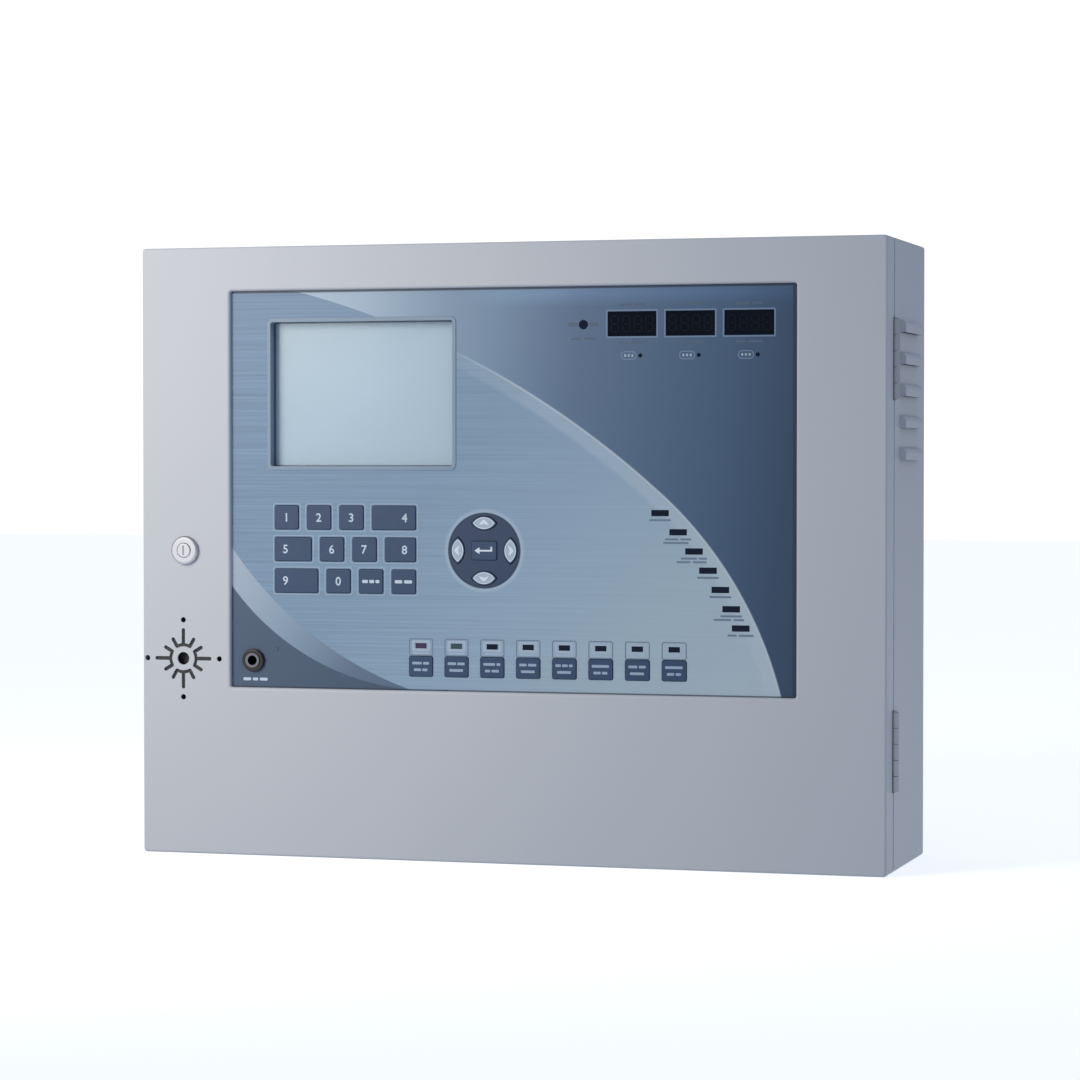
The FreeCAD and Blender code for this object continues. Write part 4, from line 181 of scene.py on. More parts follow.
class Paint:
    """One material: a Principled shader and the nodes that drive it, with lengths in millimetres."""

    def __init__(self, name, colour, roughness=0.5, **constants):
        self.material = bpy.data.materials.new(name)
        self.material.use_nodes = True
        self.tree = self.material.node_tree
        self.shader = self.tree.nodes["Principled BSDF"]
        self.material.diffuse_color = (*colour, 1)
        self.put(self.shader.inputs["Base Color"], colour)
        self.put(self.shader.inputs["Roughness"], roughness)
        for socket, value in constants.items():
            self.put(self.shader.inputs[socket.replace("_", " ")], value)
        place = self.tree.nodes.new("ShaderNodeTexCoord").outputs["Object"]
        scaled = self.tree.nodes.new("ShaderNodeVectorMath")
        scaled.operation = "SCALE"
        scaled.inputs["Scale"].default_value = 1 / MM
        self.tree.links.new(place, scaled.inputs[0])
        self.where = scaled.outputs[0]
        split = self.tree.nodes.new("ShaderNodeSeparateXYZ")
        self.tree.links.new(self.where, split.inputs[0])
        self.x, self.y, self.z = (Field(self, socket) for socket in split.outputs)

    def put(self, socket, value):
        """Sets a socket to a number or a colour, or links it."""
        if isinstance(value, Field):
            value = value.socket
        if isinstance(value, bpy.types.NodeSocket):
            self.tree.links.new(value, socket)
        elif isinstance(value, (tuple, list)):
            socket.default_value = (*value, 1) if len(value) == 3 else value
        else:
            socket.default_value = value

    def stretched(self, stretch):
        """The place on the part, in millimetres, squeezed so that a pattern comes out longer."""
        node = self.tree.nodes.new("ShaderNodeVectorMath")
        node.operation = "DIVIDE"
        self.tree.links.new(self.where, node.inputs[0])
        node.inputs[1].default_value = stretch
        return node.outputs[0]

    def noise(self, size, detail=2.0, stretch=(1, 1, 1)):
        """Soft noise, mostly 0.3 to 0.7, in lumps of a size, longer along a stretched axis."""
        node = self.tree.nodes.new("ShaderNodeTexNoise")
        node.inputs["Scale"].default_value = 1 / size
        node.inputs["Detail"].default_value = detail
        self.tree.links.new(self.stretched(stretch), node.inputs["Vector"])
        return Field(self, node.outputs["Fac"])

    def voronoi(self, size):
        node = self.tree.nodes.new("ShaderNodeTexVoronoi")
        node.inputs["Scale"].default_value = 1 / size
        self.tree.links.new(self.where, node.inputs["Vector"])
        return node

    def cells(self, size):
        """A field of cells: distance to the nearest cell's centre, in cell sizes."""
        return Field(self, self.voronoi(size).outputs["Distance"])

    def cell_shade(self, size):
        """A different number from 0 to 1 in each cell."""
        node = self.voronoi(size)
        split = self.tree.nodes.new("ShaderNodeSeparateColor")
        self.tree.links.new(node.outputs["Color"], split.inputs[0])
        return Field(self, split.outputs[0])

    def ramp(self, field, stops):
        """Colour from a list of (place, colour), with places in the field's own units."""
        low, high = stops[0][0], stops[-1][0]
        node = self.tree.nodes.new("ShaderNodeValToRGB")
        self.put(node.inputs[0], (field - low) / (high - low))
        elements = node.color_ramp.elements
        while len(elements) < len(stops):
            elements.new(1)
        for element, (place, colour) in zip(elements, stops):
            element.position = (place - low) / (high - low)
            element.color = (*colour, 1)
        return node.outputs[0]

    def mix(self, factor, first, second):
        """First where the factor is 0, second where it is 1."""
        node = self.tree.nodes.new("ShaderNodeMix")
        node.data_type = "RGBA"
        self.put(node.inputs[0], factor)
        self.put(node.inputs[MIX_FIRST], first)
        self.put(node.inputs[MIX_SECOND], second)
        return node.outputs[MIX_RESULT]

    def shade(self, colour, field):
        """A colour made lighter or darker by a field round 1."""
        node = self.tree.nodes.new("ShaderNodeVectorMath")
        node.operation = "SCALE"
        if isinstance(colour, tuple):
            colour = self.mix(0.0, colour, colour)
        self.put(node.inputs[0], colour)
        self.put(node.inputs["Scale"], field)
        return node.outputs[0]

    def colour(self, value):
        self.put(self.shader.inputs["Base Color"], value)
        return self

    def rough(self, value):
        self.put(self.shader.inputs["Roughness"], value)
        return self

    def bump(self, height, depth):
        """Relief from a field of 0 to 1, with its full depth in millimetres."""
        node = self.tree.nodes.new("ShaderNodeBump")
        node.inputs["Strength"].default_value = 1
        node.inputs["Distance"].default_value = depth * MM
        self.put(node.inputs["Height"], height)
        self.tree.links.new(node.outputs[0], self.shader.inputs["Normal"])
        return self


def grey_paint():
    """Pale grey powder coat: an even tint with fine orange peel."""
    tint = (0.555, 0.58, 0.63)
    paint = Paint("grey_paint", tint, Specular_IOR_Level=0.4)
    peel = paint.noise(1.1, 3)
    cloud = paint.noise(90, 2)
    speck = paint.noise(0.35, 1)
    paint.colour(paint.shade(tint, 0.975 + cloud * 0.03 + speck * 0.02))
    paint.rough(0.44 + peel * 0.1)
    return paint.bump(peel, 0.035)


def zinc_steel():
    """Zinc plate with faint spangle and a little yellow passivation."""
    paint = Paint("zinc_steel", (0.60, 0.61, 0.62), Metallic=1.0)
    grain = paint.cell_shade(6)
    haze = paint.noise(40, 3)
    tint = paint.mix(haze, (0.56, 0.58, 0.61), (0.64, 0.63, 0.60))
    paint.colour(paint.shade(tint, 0.93 + grain * 0.1))
    paint.rough(0.34 + grain * 0.1 + haze * 0.08)
    return paint.bump(paint.noise(1.5, 3), 0.02)


def brushed_metal(name, colour, roughness, along, relief=0.01):
    """Metal with fine lines along an axis."""
    stretch = [1.0, 1.0, 1.0]
    stretch[along] = 40.0
    paint = Paint(name, colour, Metallic=1.0)
    lines = paint.noise(0.25, 3, stretch)
    paint.colour(paint.shade(colour, 0.9 + lines * 0.2))
    paint.rough(roughness + lines * 0.16)
    return paint.bump(lines, relief)


def cast_plastic(name, colour, roughness=0.5, grain=0.5, depth=0.012, variation=0.08, **constants):
    """Moulded plastic with a fine spark-eroded texture."""
    paint = Paint(name, colour, **constants)
    texture = paint.noise(grain, 3)
    cloud = paint.noise(25, 2)
    paint.colour(paint.shade(colour, 1 - variation + texture * variation + cloud * variation))
    paint.rough(roughness - 0.06 + texture * 0.12)
    return paint.bump(texture, depth)


TRACK_PITCH, HOLE_PITCH, PRINT_PITCH = 2.4, 5.08, 12
PLATED, DRILLED, PRINT_WHITE = (0.55, 0.50, 0.36), (0.02, 0.025, 0.02), (0.62, 0.66, 0.62)


def circuit_board(name, mask, track):
    """Solder resist over a pattern of copper tracks, with plated holes and fine white dashes."""
    paint = Paint(name, mask, Specular_IOR_Level=0.5)
    bend_x = paint.noise(14, 1) * 9
    bend_z = paint.noise(17, 1) * 9
    along = (paint.x + bend_x).wave(TRACK_PITCH).over(0.62, 0.12)
    along = along * paint.cell_shade(13).over(0.45, 0.04)
    across = (paint.z + bend_z).wave(TRACK_PITCH).over(0.62, 0.12)
    across = across * paint.cell_shade(11).over(0.5, 0.04)
    tracks = along.highest(across)
    holes = paint.cells(HOLE_PITCH).under(0.13, 0.03)
    pads = paint.cells(HOLE_PITCH).under(0.22, 0.04) - holes
    face = paint.mix(tracks, mask, track)
    face = paint.mix(pads, face, PLATED)
    face = paint.mix(holes, face, DRILLED)
    legend = paint.z.wave(PRINT_PITCH).over(0.985, 0.01) * paint.cell_shade(6).over(0.72, 0.02)
    paint.colour(paint.mix(legend, face, PRINT_WHITE))
    paint.rough(0.28 + paint.noise(3) * 0.12)
    return paint.bump(tracks + pads - holes, 0.05)


# ---------------------------------------------------------------- printed film

# Circles of the artwork: centre from the window's lower left corner, then radius, in millimetres
WIDE_ARC = ((-106.4, -321.4), 600.8)
TIGHT_ARC = ((123.2, -62.2), 254.6)
OUTER_ARC = ((201.3, 234.7), 246.6)
CORNER_ARC = ((135.3, 170.7), 170.5)
# Direction of the line from the wide arc's centre along which the tight arc takes over
TURN_RIGHT, TURN_UP = 0.7485, 0.663
# The corner's two circles count only this far to the right and up
OUTER_REACH, CORNER_REACH, REACH_UP = 170, 150, 140
PALE_STOPS = [(0, (0.150, 0.245, 0.380)), (240, (0.205, 0.317, 0.448)), (355, (0.295, 0.411, 0.543)),
              (470, (0.396, 0.512, 0.592)), (560, (0.455, 0.560, 0.640))]
SKY_STOPS = [(60, (0.390, 0.500, 0.630)), (91, (0.360, 0.470, 0.600)), (121, (0.280, 0.390, 0.505)),
             (150, (0.220, 0.315, 0.440)), (186, (0.175, 0.270, 0.395)), (211, (0.140, 0.220, 0.340)),
             (242, (0.102, 0.170, 0.278)), (300, (0.074, 0.136, 0.236)), (340, (0.056, 0.112, 0.205)),
             (388, (0.029, 0.068, 0.136)), (430, (0.021, 0.056, 0.112))]
CRESCENT_STOPS = [(-60, (0.40, 0.47, 0.58)), (-20, (0.33, 0.42, 0.53)), (30, (0.21, 0.30, 0.41)),
                  (75, (0.115, 0.175, 0.265)), (120, (0.085, 0.140, 0.225))]
CORNER_STOPS = [(0, (0.064, 0.104, 0.170)), (120, (0.047, 0.083, 0.143))]
ARC_GLOW, ARC_RIM = (0.62, 0.70, 0.76), (0.66, 0.73, 0.79)
PAD_GLOW, PAD_DARK, PAD_LINE = (0.60, 0.70, 0.80), (0.021, 0.047, 0.107), (0.012, 0.028, 0.060)
# Colour of the painted shadow along the window's edges
EDGE_PAINTED_SHADOW = (0.016, 0.028, 0.050)
PAD_RADIUS = 24.5


def from_point(paint, x, z):
    """Distance from a line through (x, z) along Y, in millimetres."""
    across, up = paint.x - x, paint.z - z
    return (across * across + up * up).operate("SQRT")


def sweep(paint, arc):
    """Distance outside a circle of the artwork."""
    (right, up), radius = arc
    return from_point(paint, WINDOW.low.x / MM + right, WINDOW.low.z / MM + up) - radius


def pad_distance(paint):
    """Distance outside the dark disc round the arrow keys."""
    return from_point(paint, NAV.middle.x / MM, NAV.middle.z / MM) - PAD_RADIUS


def printed_film():
    """Blue artwork: a pale brushed field, a dark sky beyond a long arc, a dark corner, and painted
    shadow at the window's edges.
    """
    paint = Paint("overlay_print", (0.28, 0.38, 0.48), Specular_IOR_Level=0.4)
    right = paint.x - WINDOW.low.x / MM
    drop = WINDOW.high.z / MM - paint.z
    up = paint.z - WINDOW.low.z / MM

    pale = paint.ramp(right + drop * 0.8, PALE_STOPS)
    lines = paint.noise(0.9, 3, (120, 1, 1)) - 0.5
    fine = paint.noise(0.35, 2, (200, 1, 1)) - 0.5
    strength = right.under(150, 260) * 0.5 + 0.12
    pale = paint.shade(pale, 1 + (lines * 1.1 + fine * 0.5) * strength)

    sky = paint.ramp(right + drop * 0.12, SKY_STOPS)
    top_glow = drop.under(9, 8) * right.over(190, 60) * 0.4
    sky = paint.shade(sky, 0.99 + paint.noise(0.5, 3) * 0.02 + top_glow)

    (wide_right, wide_up), _ = WIDE_ARC
    turn = ((right - wide_right) * TURN_RIGHT - (up - wide_up) * TURN_UP).over(0, 2)
    beyond = sweep(paint, WIDE_ARC) * (1 - turn) + sweep(paint, TIGHT_ARC) * turn
    face = paint.mix(beyond.over(0, 0.5), pale, sky)
    glow = beyond.within(-9, -0.3, 3) * right.over(170, 90) * 0.22
    face = paint.mix(glow, face, ARC_GLOW)
    rim = beyond.within(-1.0, 0.4, 0.6) * right.over(170, 60) * 0.45
    face = paint.mix(rim, face, ARC_RIM)

    low = up.under(REACH_UP)
    outer = sweep(paint, OUTER_ARC).over(0, 0.5) * right.under(OUTER_REACH) * low
    face = paint.mix(outer, face, paint.ramp(right - up * 0.6, CRESCENT_STOPS))
    corner = sweep(paint, CORNER_ARC).over(0, 0.5) * right.under(CORNER_REACH) * low
    face = paint.mix(corner, face, paint.ramp(right, CORNER_STOPS))

    disc = pad_distance(paint)
    face = paint.mix(disc.within(-0.5, 2.2, 1.6) * 0.28, face, PAD_GLOW)
    face = paint.mix(disc.under(0, 0.5), face, PAD_DARK)
    ring = abs(disc + 1.1).under(0.5, 0.4) * 0.5
    face = paint.mix(ring, face, PAD_LINE)

    # Painted shadow: a dark band along the window's bottom, right and top edges, where the door's edge
    # shades the film
    edge = up.under(0.9, 0.5).highest((WINDOW.wide / MM - right).under(3.0, 0.4))
    edge = edge.highest(drop.under(1.5, 0.4))
    face = paint.mix(edge * 0.8, face, EDGE_PAINTED_SHADOW)
    paint.colour(face)
    grain = paint.noise(0.3, 2)
    paint.rough(0.36 + grain * 0.1)
    return paint.bump(grain, 0.006)


def key_face():
    """Slate-blue key tops with a faint cloud and a satin face."""
    slate = (0.030, 0.063, 0.134)
    paint = Paint("key_plastic", slate, Specular_IOR_Level=0.35)
    texture = paint.noise(0.45, 3)
    sheen = paint.noise(9, 2)
    paint.colour(paint.shade(slate, 0.82 + texture * 0.18 + sheen * 0.22))
    paint.rough(0.34 + texture * 0.14)
    return paint.bump(texture, 0.015)


# ---------------------------------------------------------------- display glass and lamps

def clear_pane():
    """Thin clear sheet: mostly see-through, with a soft shine that grows at grazing angles."""
    paint = Paint("clear_pane", (0.9, 0.94, 0.97), 0.08)
    smear = paint.noise(30, 4)
    paint.rough(0.05 + smear * 0.06)
    paint.put(paint.shader.inputs["Specular IOR Level"], 0.5)
    tree = paint.tree
    see_through = tree.nodes.new("ShaderNodeBsdfTransparent")
    see_through.inputs[0].default_value = (0.93, 0.955, 0.965, 1)
    facing = tree.nodes.new("ShaderNodeLayerWeight")
    facing.inputs["Blend"].default_value = 0.5
    glancing = Field(paint, facing.outputs["Facing"])
    gloss = tree.nodes.new("ShaderNodeMixShader")
    paint.put(gloss.inputs[0], glancing.operate("POWER", 5) * 0.9 + 0.04)
    tree.links.new(see_through.outputs[0], gloss.inputs[1])
    tree.links.new(paint.shader.outputs[0], gloss.inputs[2])
    tree.links.new(gloss.outputs[0], tree.nodes["Material Output"].inputs["Surface"])
    return paint


LCD_HALF_WIDE, LCD_HALF_TALL = 62, 46.4
# Painted shading of the screen: lighter towards the lower right, darker towards the upper left
LCD_SHADING_STOPS = [(-80, (0.490, 0.585, 0.680)), (0, (0.580, 0.690, 0.790)), (80, (0.590, 0.690, 0.780))]
LCD_BORDER = (0.15, 0.19, 0.25)


def lcd_glass():
    """Pale reflective LCD with a fine dot grid inside a dark border, and painted shading across the
    screen.
    """
    paint = Paint("lcd_glass", (0.56, 0.68, 0.79), 0.3)
    right, up = paint.x - LCD.middle.x / MM, paint.z - LCD.middle.z / MM
    active = abs(right).under(LCD_HALF_WIDE) * abs(up).under(LCD_HALF_TALL)
    dots = paint.x.wave(0.5) * paint.z.wave(0.5)
    cloud = paint.noise(60, 2)
    # Painted shading: the screen's one colour is drawn lighter towards the lower right and darker
    # towards the upper left
    glow = paint.ramp(right * 0.6 - up, LCD_SHADING_STOPS)
    screen = paint.shade(glow, 0.985 + dots * 0.008 + cloud * 0.015)
    paint.colour(paint.mix(active, LCD_BORDER, screen))
    paint.rough(0.22 + dots * 0.05)
    return paint.bump(dots, 0.003)


def display_black():
    """Smoked filter over the digits."""
    smoke = (0.002, 0.005, 0.011)
    paint = Paint("display_black", smoke, Specular_IOR_Level=0.12)
    smear = paint.noise(18, 3)
    paint.colour(paint.shade(smoke, 0.8 + smear * 0.5))
    return paint.rough(0.1 + smear * 0.1)


MILKY, FAINT_RED, FAINT_GREEN = (0.085, 0.130, 0.215), (0.075, 0.050, 0.110), (0.055, 0.095, 0.110)


def lamp_dark():
    """Unlit lamps: smoked windows, faintly red at the left, green beside it, and a milky power lamp."""
    smoke = (0.003, 0.009, 0.026)
    paint = Paint("lamp_dark", smoke, Specular_IOR_Level=0.15)
    first, second = FUNCTION_LAMPS[0].middle.x / MM, FUNCTION_LAMPS[1].middle.x / MM
    row = FUNCTION_LAMPS[0].middle.z / MM
    on_row = abs(paint.z - row).under(3, 0.2)
    red = abs(paint.x - first).under(5, 0.2) * on_row
    green = abs(paint.x - second).under(5, 0.2) * on_row
    milky = abs(paint.x - POWER_LAMP.middle.x / MM).under(3, 0.2)
    face = paint.shade(smoke, 0.7 + paint.noise(2.5) * 0.6)
    face = paint.mix(milky, face, MILKY)
    face = paint.mix(red, face, FAINT_RED)
    paint.colour(paint.mix(green, face, FAINT_GREEN))
    return paint.rough(0.16 + paint.noise(1.2) * 0.12)


def rubber():
    """Dull black rubber with a faint grey bloom."""
    black = (0.018, 0.018, 0.02)
    paint = Paint("black_rubber", black)
    bloom = paint.noise(8, 3)
    paint.colour(paint.shade(black, 0.7 + bloom * 0.7))
    paint.rough(0.66 + bloom * 0.16)
    return paint.bump(paint.noise(0.5, 2), 0.02)


def ink(name, colour, roughness=0.45, **constants):
    """Screen-printed ink: nearly even, with a little grain at its edge."""
    paint = Paint(name, colour, **constants)
    grain = paint.noise(0.25, 2)
    paint.colour(paint.shade(colour, 0.93 + grain * 0.14))
    return paint.rough(roughness - 0.05 + grain * 0.1)


FINISHES = {
    "grey_paint": grey_paint(),
    "zinc_steel": zinc_steel(),
    "hinge_steel": brushed_metal("hinge_steel", (0.30, 0.315, 0.35), 0.36, 2),
    "nickel": brushed_metal("nickel", (0.42, 0.43, 0.47), 0.44, 0, 0.001),
    "overlay_print": printed_film(),
    "frame_plastic": cast_plastic("frame_plastic", (0.215, 0.300, 0.400), 0.42),
    "clear_pane": clear_pane(),
    "lcd_glass": lcd_glass(),
    "display_black": display_black(),
    "lamp_dark": lamp_dark(),
    "key_plastic": key_face(),
    "board_green": circuit_board("board_green", (0.012, 0.105, 0.045), (0.03, 0.19, 0.075)),
    "part_black": cast_plastic("part_black", (0.020, 0.020, 0.023), 0.5),
    "terminal_green": cast_plastic("terminal_green", (0.035, 0.26, 0.10), 0.42),
    "mains_grey": cast_plastic("mains_grey", (0.42, 0.43, 0.44), 0.5),
    "battery_case": cast_plastic("battery_case", (0.050, 0.052, 0.058), 0.55, 0.9, 0.03),
    "brass_stud": brushed_metal("brass_stud", (0.72, 0.55, 0.26), 0.22, 1),
    "black_rubber": rubber(),
    "jack_black": cast_plastic("jack_black", (0.004, 0.004, 0.006), 0.35),
}
EXTRAS = {
    "relay_blue": cast_plastic("relay_blue", (0.020, 0.105, 0.300), 0.35),
    "header_white": cast_plastic("header_white", (0.62, 0.60, 0.54), 0.45),
    "sleeve_black": cast_plastic("sleeve_black", (0.018, 0.022, 0.040), 0.25),
    "can_top": brushed_metal("can_top", (0.70, 0.70, 0.71), 0.28, 0),
    "fin_black": cast_plastic("fin_black", (0.030, 0.031, 0.034), 0.38),
    "core_yellow": cast_plastic("core_yellow", (0.55, 0.36, 0.05), 0.4),
    "tin": brushed_metal("tin", (0.66, 0.66, 0.65), 0.3, 0),
    "copper": brushed_metal("copper", (0.70, 0.34, 0.18), 0.3, 2),
    "light_ink": ink("light_ink", (0.56, 0.66, 0.78)),
    "white_ink": ink("white_ink", (0.72, 0.80, 0.90)),
    "line_ink": ink("line_ink", (0.33, 0.43, 0.56)),
    "rim_ink": ink("rim_ink", (0.17, 0.25, 0.38)),
    "pale_ink": ink("pale_ink", (0.40, 0.50, 0.62)),
    "dark_ink": ink("dark_ink", (0.075, 0.120, 0.190)),
    "soft_ink": ink("soft_ink", (0.150, 0.215, 0.305)),
    "segment": ink("segment", (0.005, 0.007, 0.012), 0.3, Specular_IOR_Level=0.12),
    "dull_steel": brushed_metal("dull_steel", (0.13, 0.135, 0.16), 0.42, 0),
    "label_silver": ink("label_silver", (0.50, 0.51, 0.53), 0.4),
}


def dress(name, pick=None, extra=()):
    """Gives a CAD node its finish. pick(centre, normal) names one of the extra finishes, or None."""
    mesh = NODES[name].data
    mesh.materials.clear()
    mesh.materials.append(FINISHES[SLOT_OF[name]].material)
    for finish in extra:
        mesh.materials.append(EXTRAS[finish].material)
    order = [None, *extra]
    for polygon in mesh.polygons:
        chosen = pick(polygon.center, polygon.normal) if pick else None
        polygon.material_index = order.index(chosen)


def dress_solids(name, pick, extra):
    """As dress, but pick(solid, face) chooses from the separate solid that a face is on."""
    dress(name, None, extra)
    mesh = NODES[name].data
    order = [None, *extra]
    for solid in solids(name):
        for face in solid.faces:
            mesh.polygons[face].material_index = order.index(pick(solid, mesh.polygons[face]))


# ---------------------------------------------------------------- CAD nodes

# How far the parts of the main board stand out, in millimetres
FINS_OVER, CANS_OVER, RELAYS_OVER = 17, 15.5, 14
HEADERS_OVER, HEADERS_UNDER = 8.5, 10
CLIPS_OVER, CRYSTALS_OVER, CRYSTALS_UNDER = 5, 3.2, 3.6
# A face whose normal's Y is below this looks to the front
FORWARD = -0.9


def part_on_board(solid, polygon):
    """Relays blue, fuses in clips, capacitors sleeved with bare tops, and so on, by their depth."""
    deep = solid.deep / MM
    if deep > FINS_OVER:
        return "fin_black"
    if deep > CANS_OVER:
        return "can_top" if polygon.normal.y < FORWARD else "sleeve_black"
    if deep > RELAYS_OVER:
        return "relay_blue"
    if HEADERS_OVER < deep < HEADERS_UNDER:
        return "header_white"
    if CLIPS_OVER < deep < HEADERS_OVER or CRYSTALS_OVER < deep < CRYSTALS_UNDER:
        return "tin"
    return None


SUPPLY_BOARD = node_box("power_supply_board")
SUPPLY_BARE = 1.7


def part_in_supply(centre, normal):
    """The supply's board is green, its transformer yellow, its cans sleeved and its coil copper."""
    right, up = (centre.x - SUPPLY_BOARD.low.x) / MM, (centre.z - SUPPLY_BOARD.low.z) / MM
    above = (SUPPLY_BOARD.high.y - centre.y) / MM
    if above < SUPPLY_BARE:
        return None
    if 28 < right < 62 and up > 50:
        return "core_yellow"
    if right < 27 and up > 30 or 66 < right < 81 and 38 < up < 54:
        return "can_top" if normal.y < FORWARD else "sleeve_black"
    if right > 64 and up > 56:
        return "copper"
    return "header_white"


SCREW_FROM, SCREW_TO = 1 * MM, 9 * MM


def screw_terminal(name):
    """The bottom of each wire hole in a terminal block is a tinned screw."""
    front = node_box(name).low.y

    def pick(centre, normal):
        return "tin" if normal.y < FORWARD and SCREW_FROM < centre.y - front < SCREW_TO else None

    return pick


TAB_TALL = 5.9 * MM


def battery_face(name):
    """The battery's tabs are tinned and stand above its lid."""
    lid = node_box(name).high.z - TAB_TALL
    return lambda centre, normal: "tin" if centre.z > lid else None


JACK_BORE, JACK_DEEP = 3.3 * MM, 5 * MM


def jack_face():
    """The inside of the jack's bore is black and the rest of it is dull steel."""
    ring = node_box("jack_nut").middle
    front = node_box("jack_socket").low.y

    def pick(centre, normal):
        inside = math.hypot(centre.x - ring.x, centre.z - ring.z) < JACK_BORE
        wall = abs(normal.y) < 0.5
        return "sleeve_black" if inside and (wall or centre.y > front + JACK_DEEP) else "dull_steel"

    return pick


BATTERIES = ("battery_left", "battery_right")

for node in NODES:
    dress(node)
dress("jack_socket", jack_face(), ["sleeve_black", "dull_steel"])
dress_solids("board_parts", part_on_board,
             ["relay_blue", "sleeve_black", "can_top", "fin_black", "header_white", "tin"])
dress("power_supply_board", part_in_supply,
      ["core_yellow", "sleeve_black", "can_top", "copper", "header_white"])
for node in ("terminal_blocks", "mains_terminal"):
    dress(node, screw_terminal(node), ["tin"])
for node in BATTERIES:
    dress(node, battery_face(node), ["tin"])


# ---------------------------------------------------------------- printed marks

INK = 0.05 * MM
DIGITS = "1234567890"
WORD_GAP = 0.07
COMMAND_KEYS = {"key_command_left": (0.3, 0.26, 0.2), "key_command_right": (0.28, 0.3)}


class Marks:
    """Thin printed shapes on one face that looks to -Y, gathered into one piece."""

    def __init__(self, face):
        self.mesh = bmesh.new()
        self.back, self.front = face, face - INK

    def shape(self, outer, inner=None):
        """A closed outline of (x, z) points, with a hole of as many points if one is given."""
        loops = [outer] if inner is None else [outer, inner]
        rings = [[[self.mesh.verts.new((x, y, z)) for x, z in loop] for y in (self.front, self.back)]
                 for loop in loops]
        count = len(outer)
        for side, (front, back) in enumerate(rings):
            for k in range(count):
                here = [front[k], front[(k + 1) % count], back[(k + 1) % count], back[k]]
                self.mesh.faces.new(here if side else here[::-1])
        if inner is None:
            self.mesh.faces.new(rings[0][0])
            self.mesh.faces.new(rings[0][1][::-1])
            return
        for layer in (0, 1):
            out, within = rings[0][layer], rings[1][layer]
            for k in range(count):
                quad = [out[k], out[(k + 1) % count], within[(k + 1) % count], within[k]]
                self.mesh.faces.new(quad if layer == 0 else quad[::-1])

    def bar(self, x, z, wide, tall, corner=0.3 * MM):
        self.shape(rounded(x, z, wide, tall, corner))

    def frame(self, x, z, wide, tall, line, corner=1 * MM):
        """A closed line of a width, inside a rounded box."""
        self.shape(rounded(x, z, wide, tall, corner),
                   rounded(x, z, wide - line * 2, tall - line * 2, max(corner - line, 0.1 * MM)))

    def words(self, x, z, wide, tall, lengths):
        """A row of dashes that stands for a line of small print. Lengths are shares of the row."""
        scale = wide / (sum(lengths) + WORD_GAP * (len(lengths) - 1))
        start = x - wide / 2
        for length in lengths:
            self.bar(start + length * scale / 2, z, length * scale, tall, tall * 0.3)
            start += (length + WORD_GAP) * scale

    def piece(self, name, body, finish, slot):
        """Turns the marks into one mesh that rides on a body."""
        bmesh.ops.recalc_face_normals(self.mesh, faces=self.mesh.faces)
        mesh = bpy.data.meshes.new(name)
        self.mesh.to_mesh(mesh)
        self.mesh.free()
        return shown(name, mesh, body, finish)


def shown(name, mesh, body, finish):
    """Puts a mesh into the scene, riding on a body."""
    mesh.materials.append(EXTRAS[finish].material)
    piece = bpy.data.objects.new(name, mesh)
    bpy.context.scene.collection.objects.link(piece)
    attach(piece, body)
    return piece


def rounded(x, z, wide, tall, corner, steps=4):
    """Points of a box with rounded corners, anticlockwise from its lower right."""
    corner = min(corner, wide / 2.02, tall / 2.02)
    points = []
    for quarter, (side, end) in enumerate(((1, -1), (1, 1), (-1, 1), (-1, -1))):
        for step in range(steps + 1):
            angle = math.radians(-90 + 90 * quarter + 90 * step / steps)
            points.append((x + side * (wide / 2 - corner) + corner * math.cos(angle),
                           z + end * (tall / 2 - corner) + corner * math.sin(angle)))
    return points


def lens(x, z, long, short, upright, steps=12):
    """Points of a shape of two equal arcs that meet in points."""
    half, sag = long / 2, short / 2
    radius = (half * half + sag * sag) / (2 * sag)
    reach = math.asin(half / radius)
    points = []
    for side in (1, -1):
        for step in range(steps):
            angle = reach - 2 * reach * step / steps
            along = radius * math.sin(angle) * side
            across = (radius * math.cos(angle) - radius + sag) * side
            points.append((along, across))
    return [(x + across, z + along) if upright else (x + along, z + across) for along, across in points]


# A digit's height as a share of its font size, and how much its strokes are thickened
DIGIT_SHARE, DIGIT_BOLD = 0.72, 0.12 * MM


def glyph(name, text, tall, x, z, face):
    """Mesh of a digit of a height, centred on a point of a face that looks to -Y."""
    letter = bpy.data.curves.new(name, "FONT")
    letter.body = text
    letter.size = tall / DIGIT_SHARE
    letter.extrude = INK / 2
    letter.resolution_u = 4
    letter.offset = DIGIT_BOLD
    holder = bpy.data.objects.new(name, letter)
    bpy.context.scene.collection.objects.link(holder)
    bpy.context.view_layer.update()
    mesh = bpy.data.meshes.new_from_object(holder.evaluated_get(bpy.context.evaluated_depsgraph_get()))
    bpy.data.objects.remove(holder)
    bpy.data.curves.remove(letter)
    mesh.transform(Matrix.Rotation(math.radians(90), 4, "X"))
    corners = [vertex.co for vertex in mesh.vertices]
    middle_x = (min(c.x for c in corners) + max(c.x for c in corners)) / 2
    middle_z = (min(c.z for c in corners) + max(c.z for c in corners)) / 2
    mesh.transform(Matrix.Translation((x - middle_x, face - INK / 2, z - middle_z)))
    mesh.materials.clear()
    mesh.name = name
    return mesh


# ---------------------------------------------------------------- marks on the keys

DIGIT_TALL = 5.6 * MM
DIGIT_INSET = 7.5 * MM
ALIGNED = {"4": 1, "8": 1, "5": -1, "9": -1}


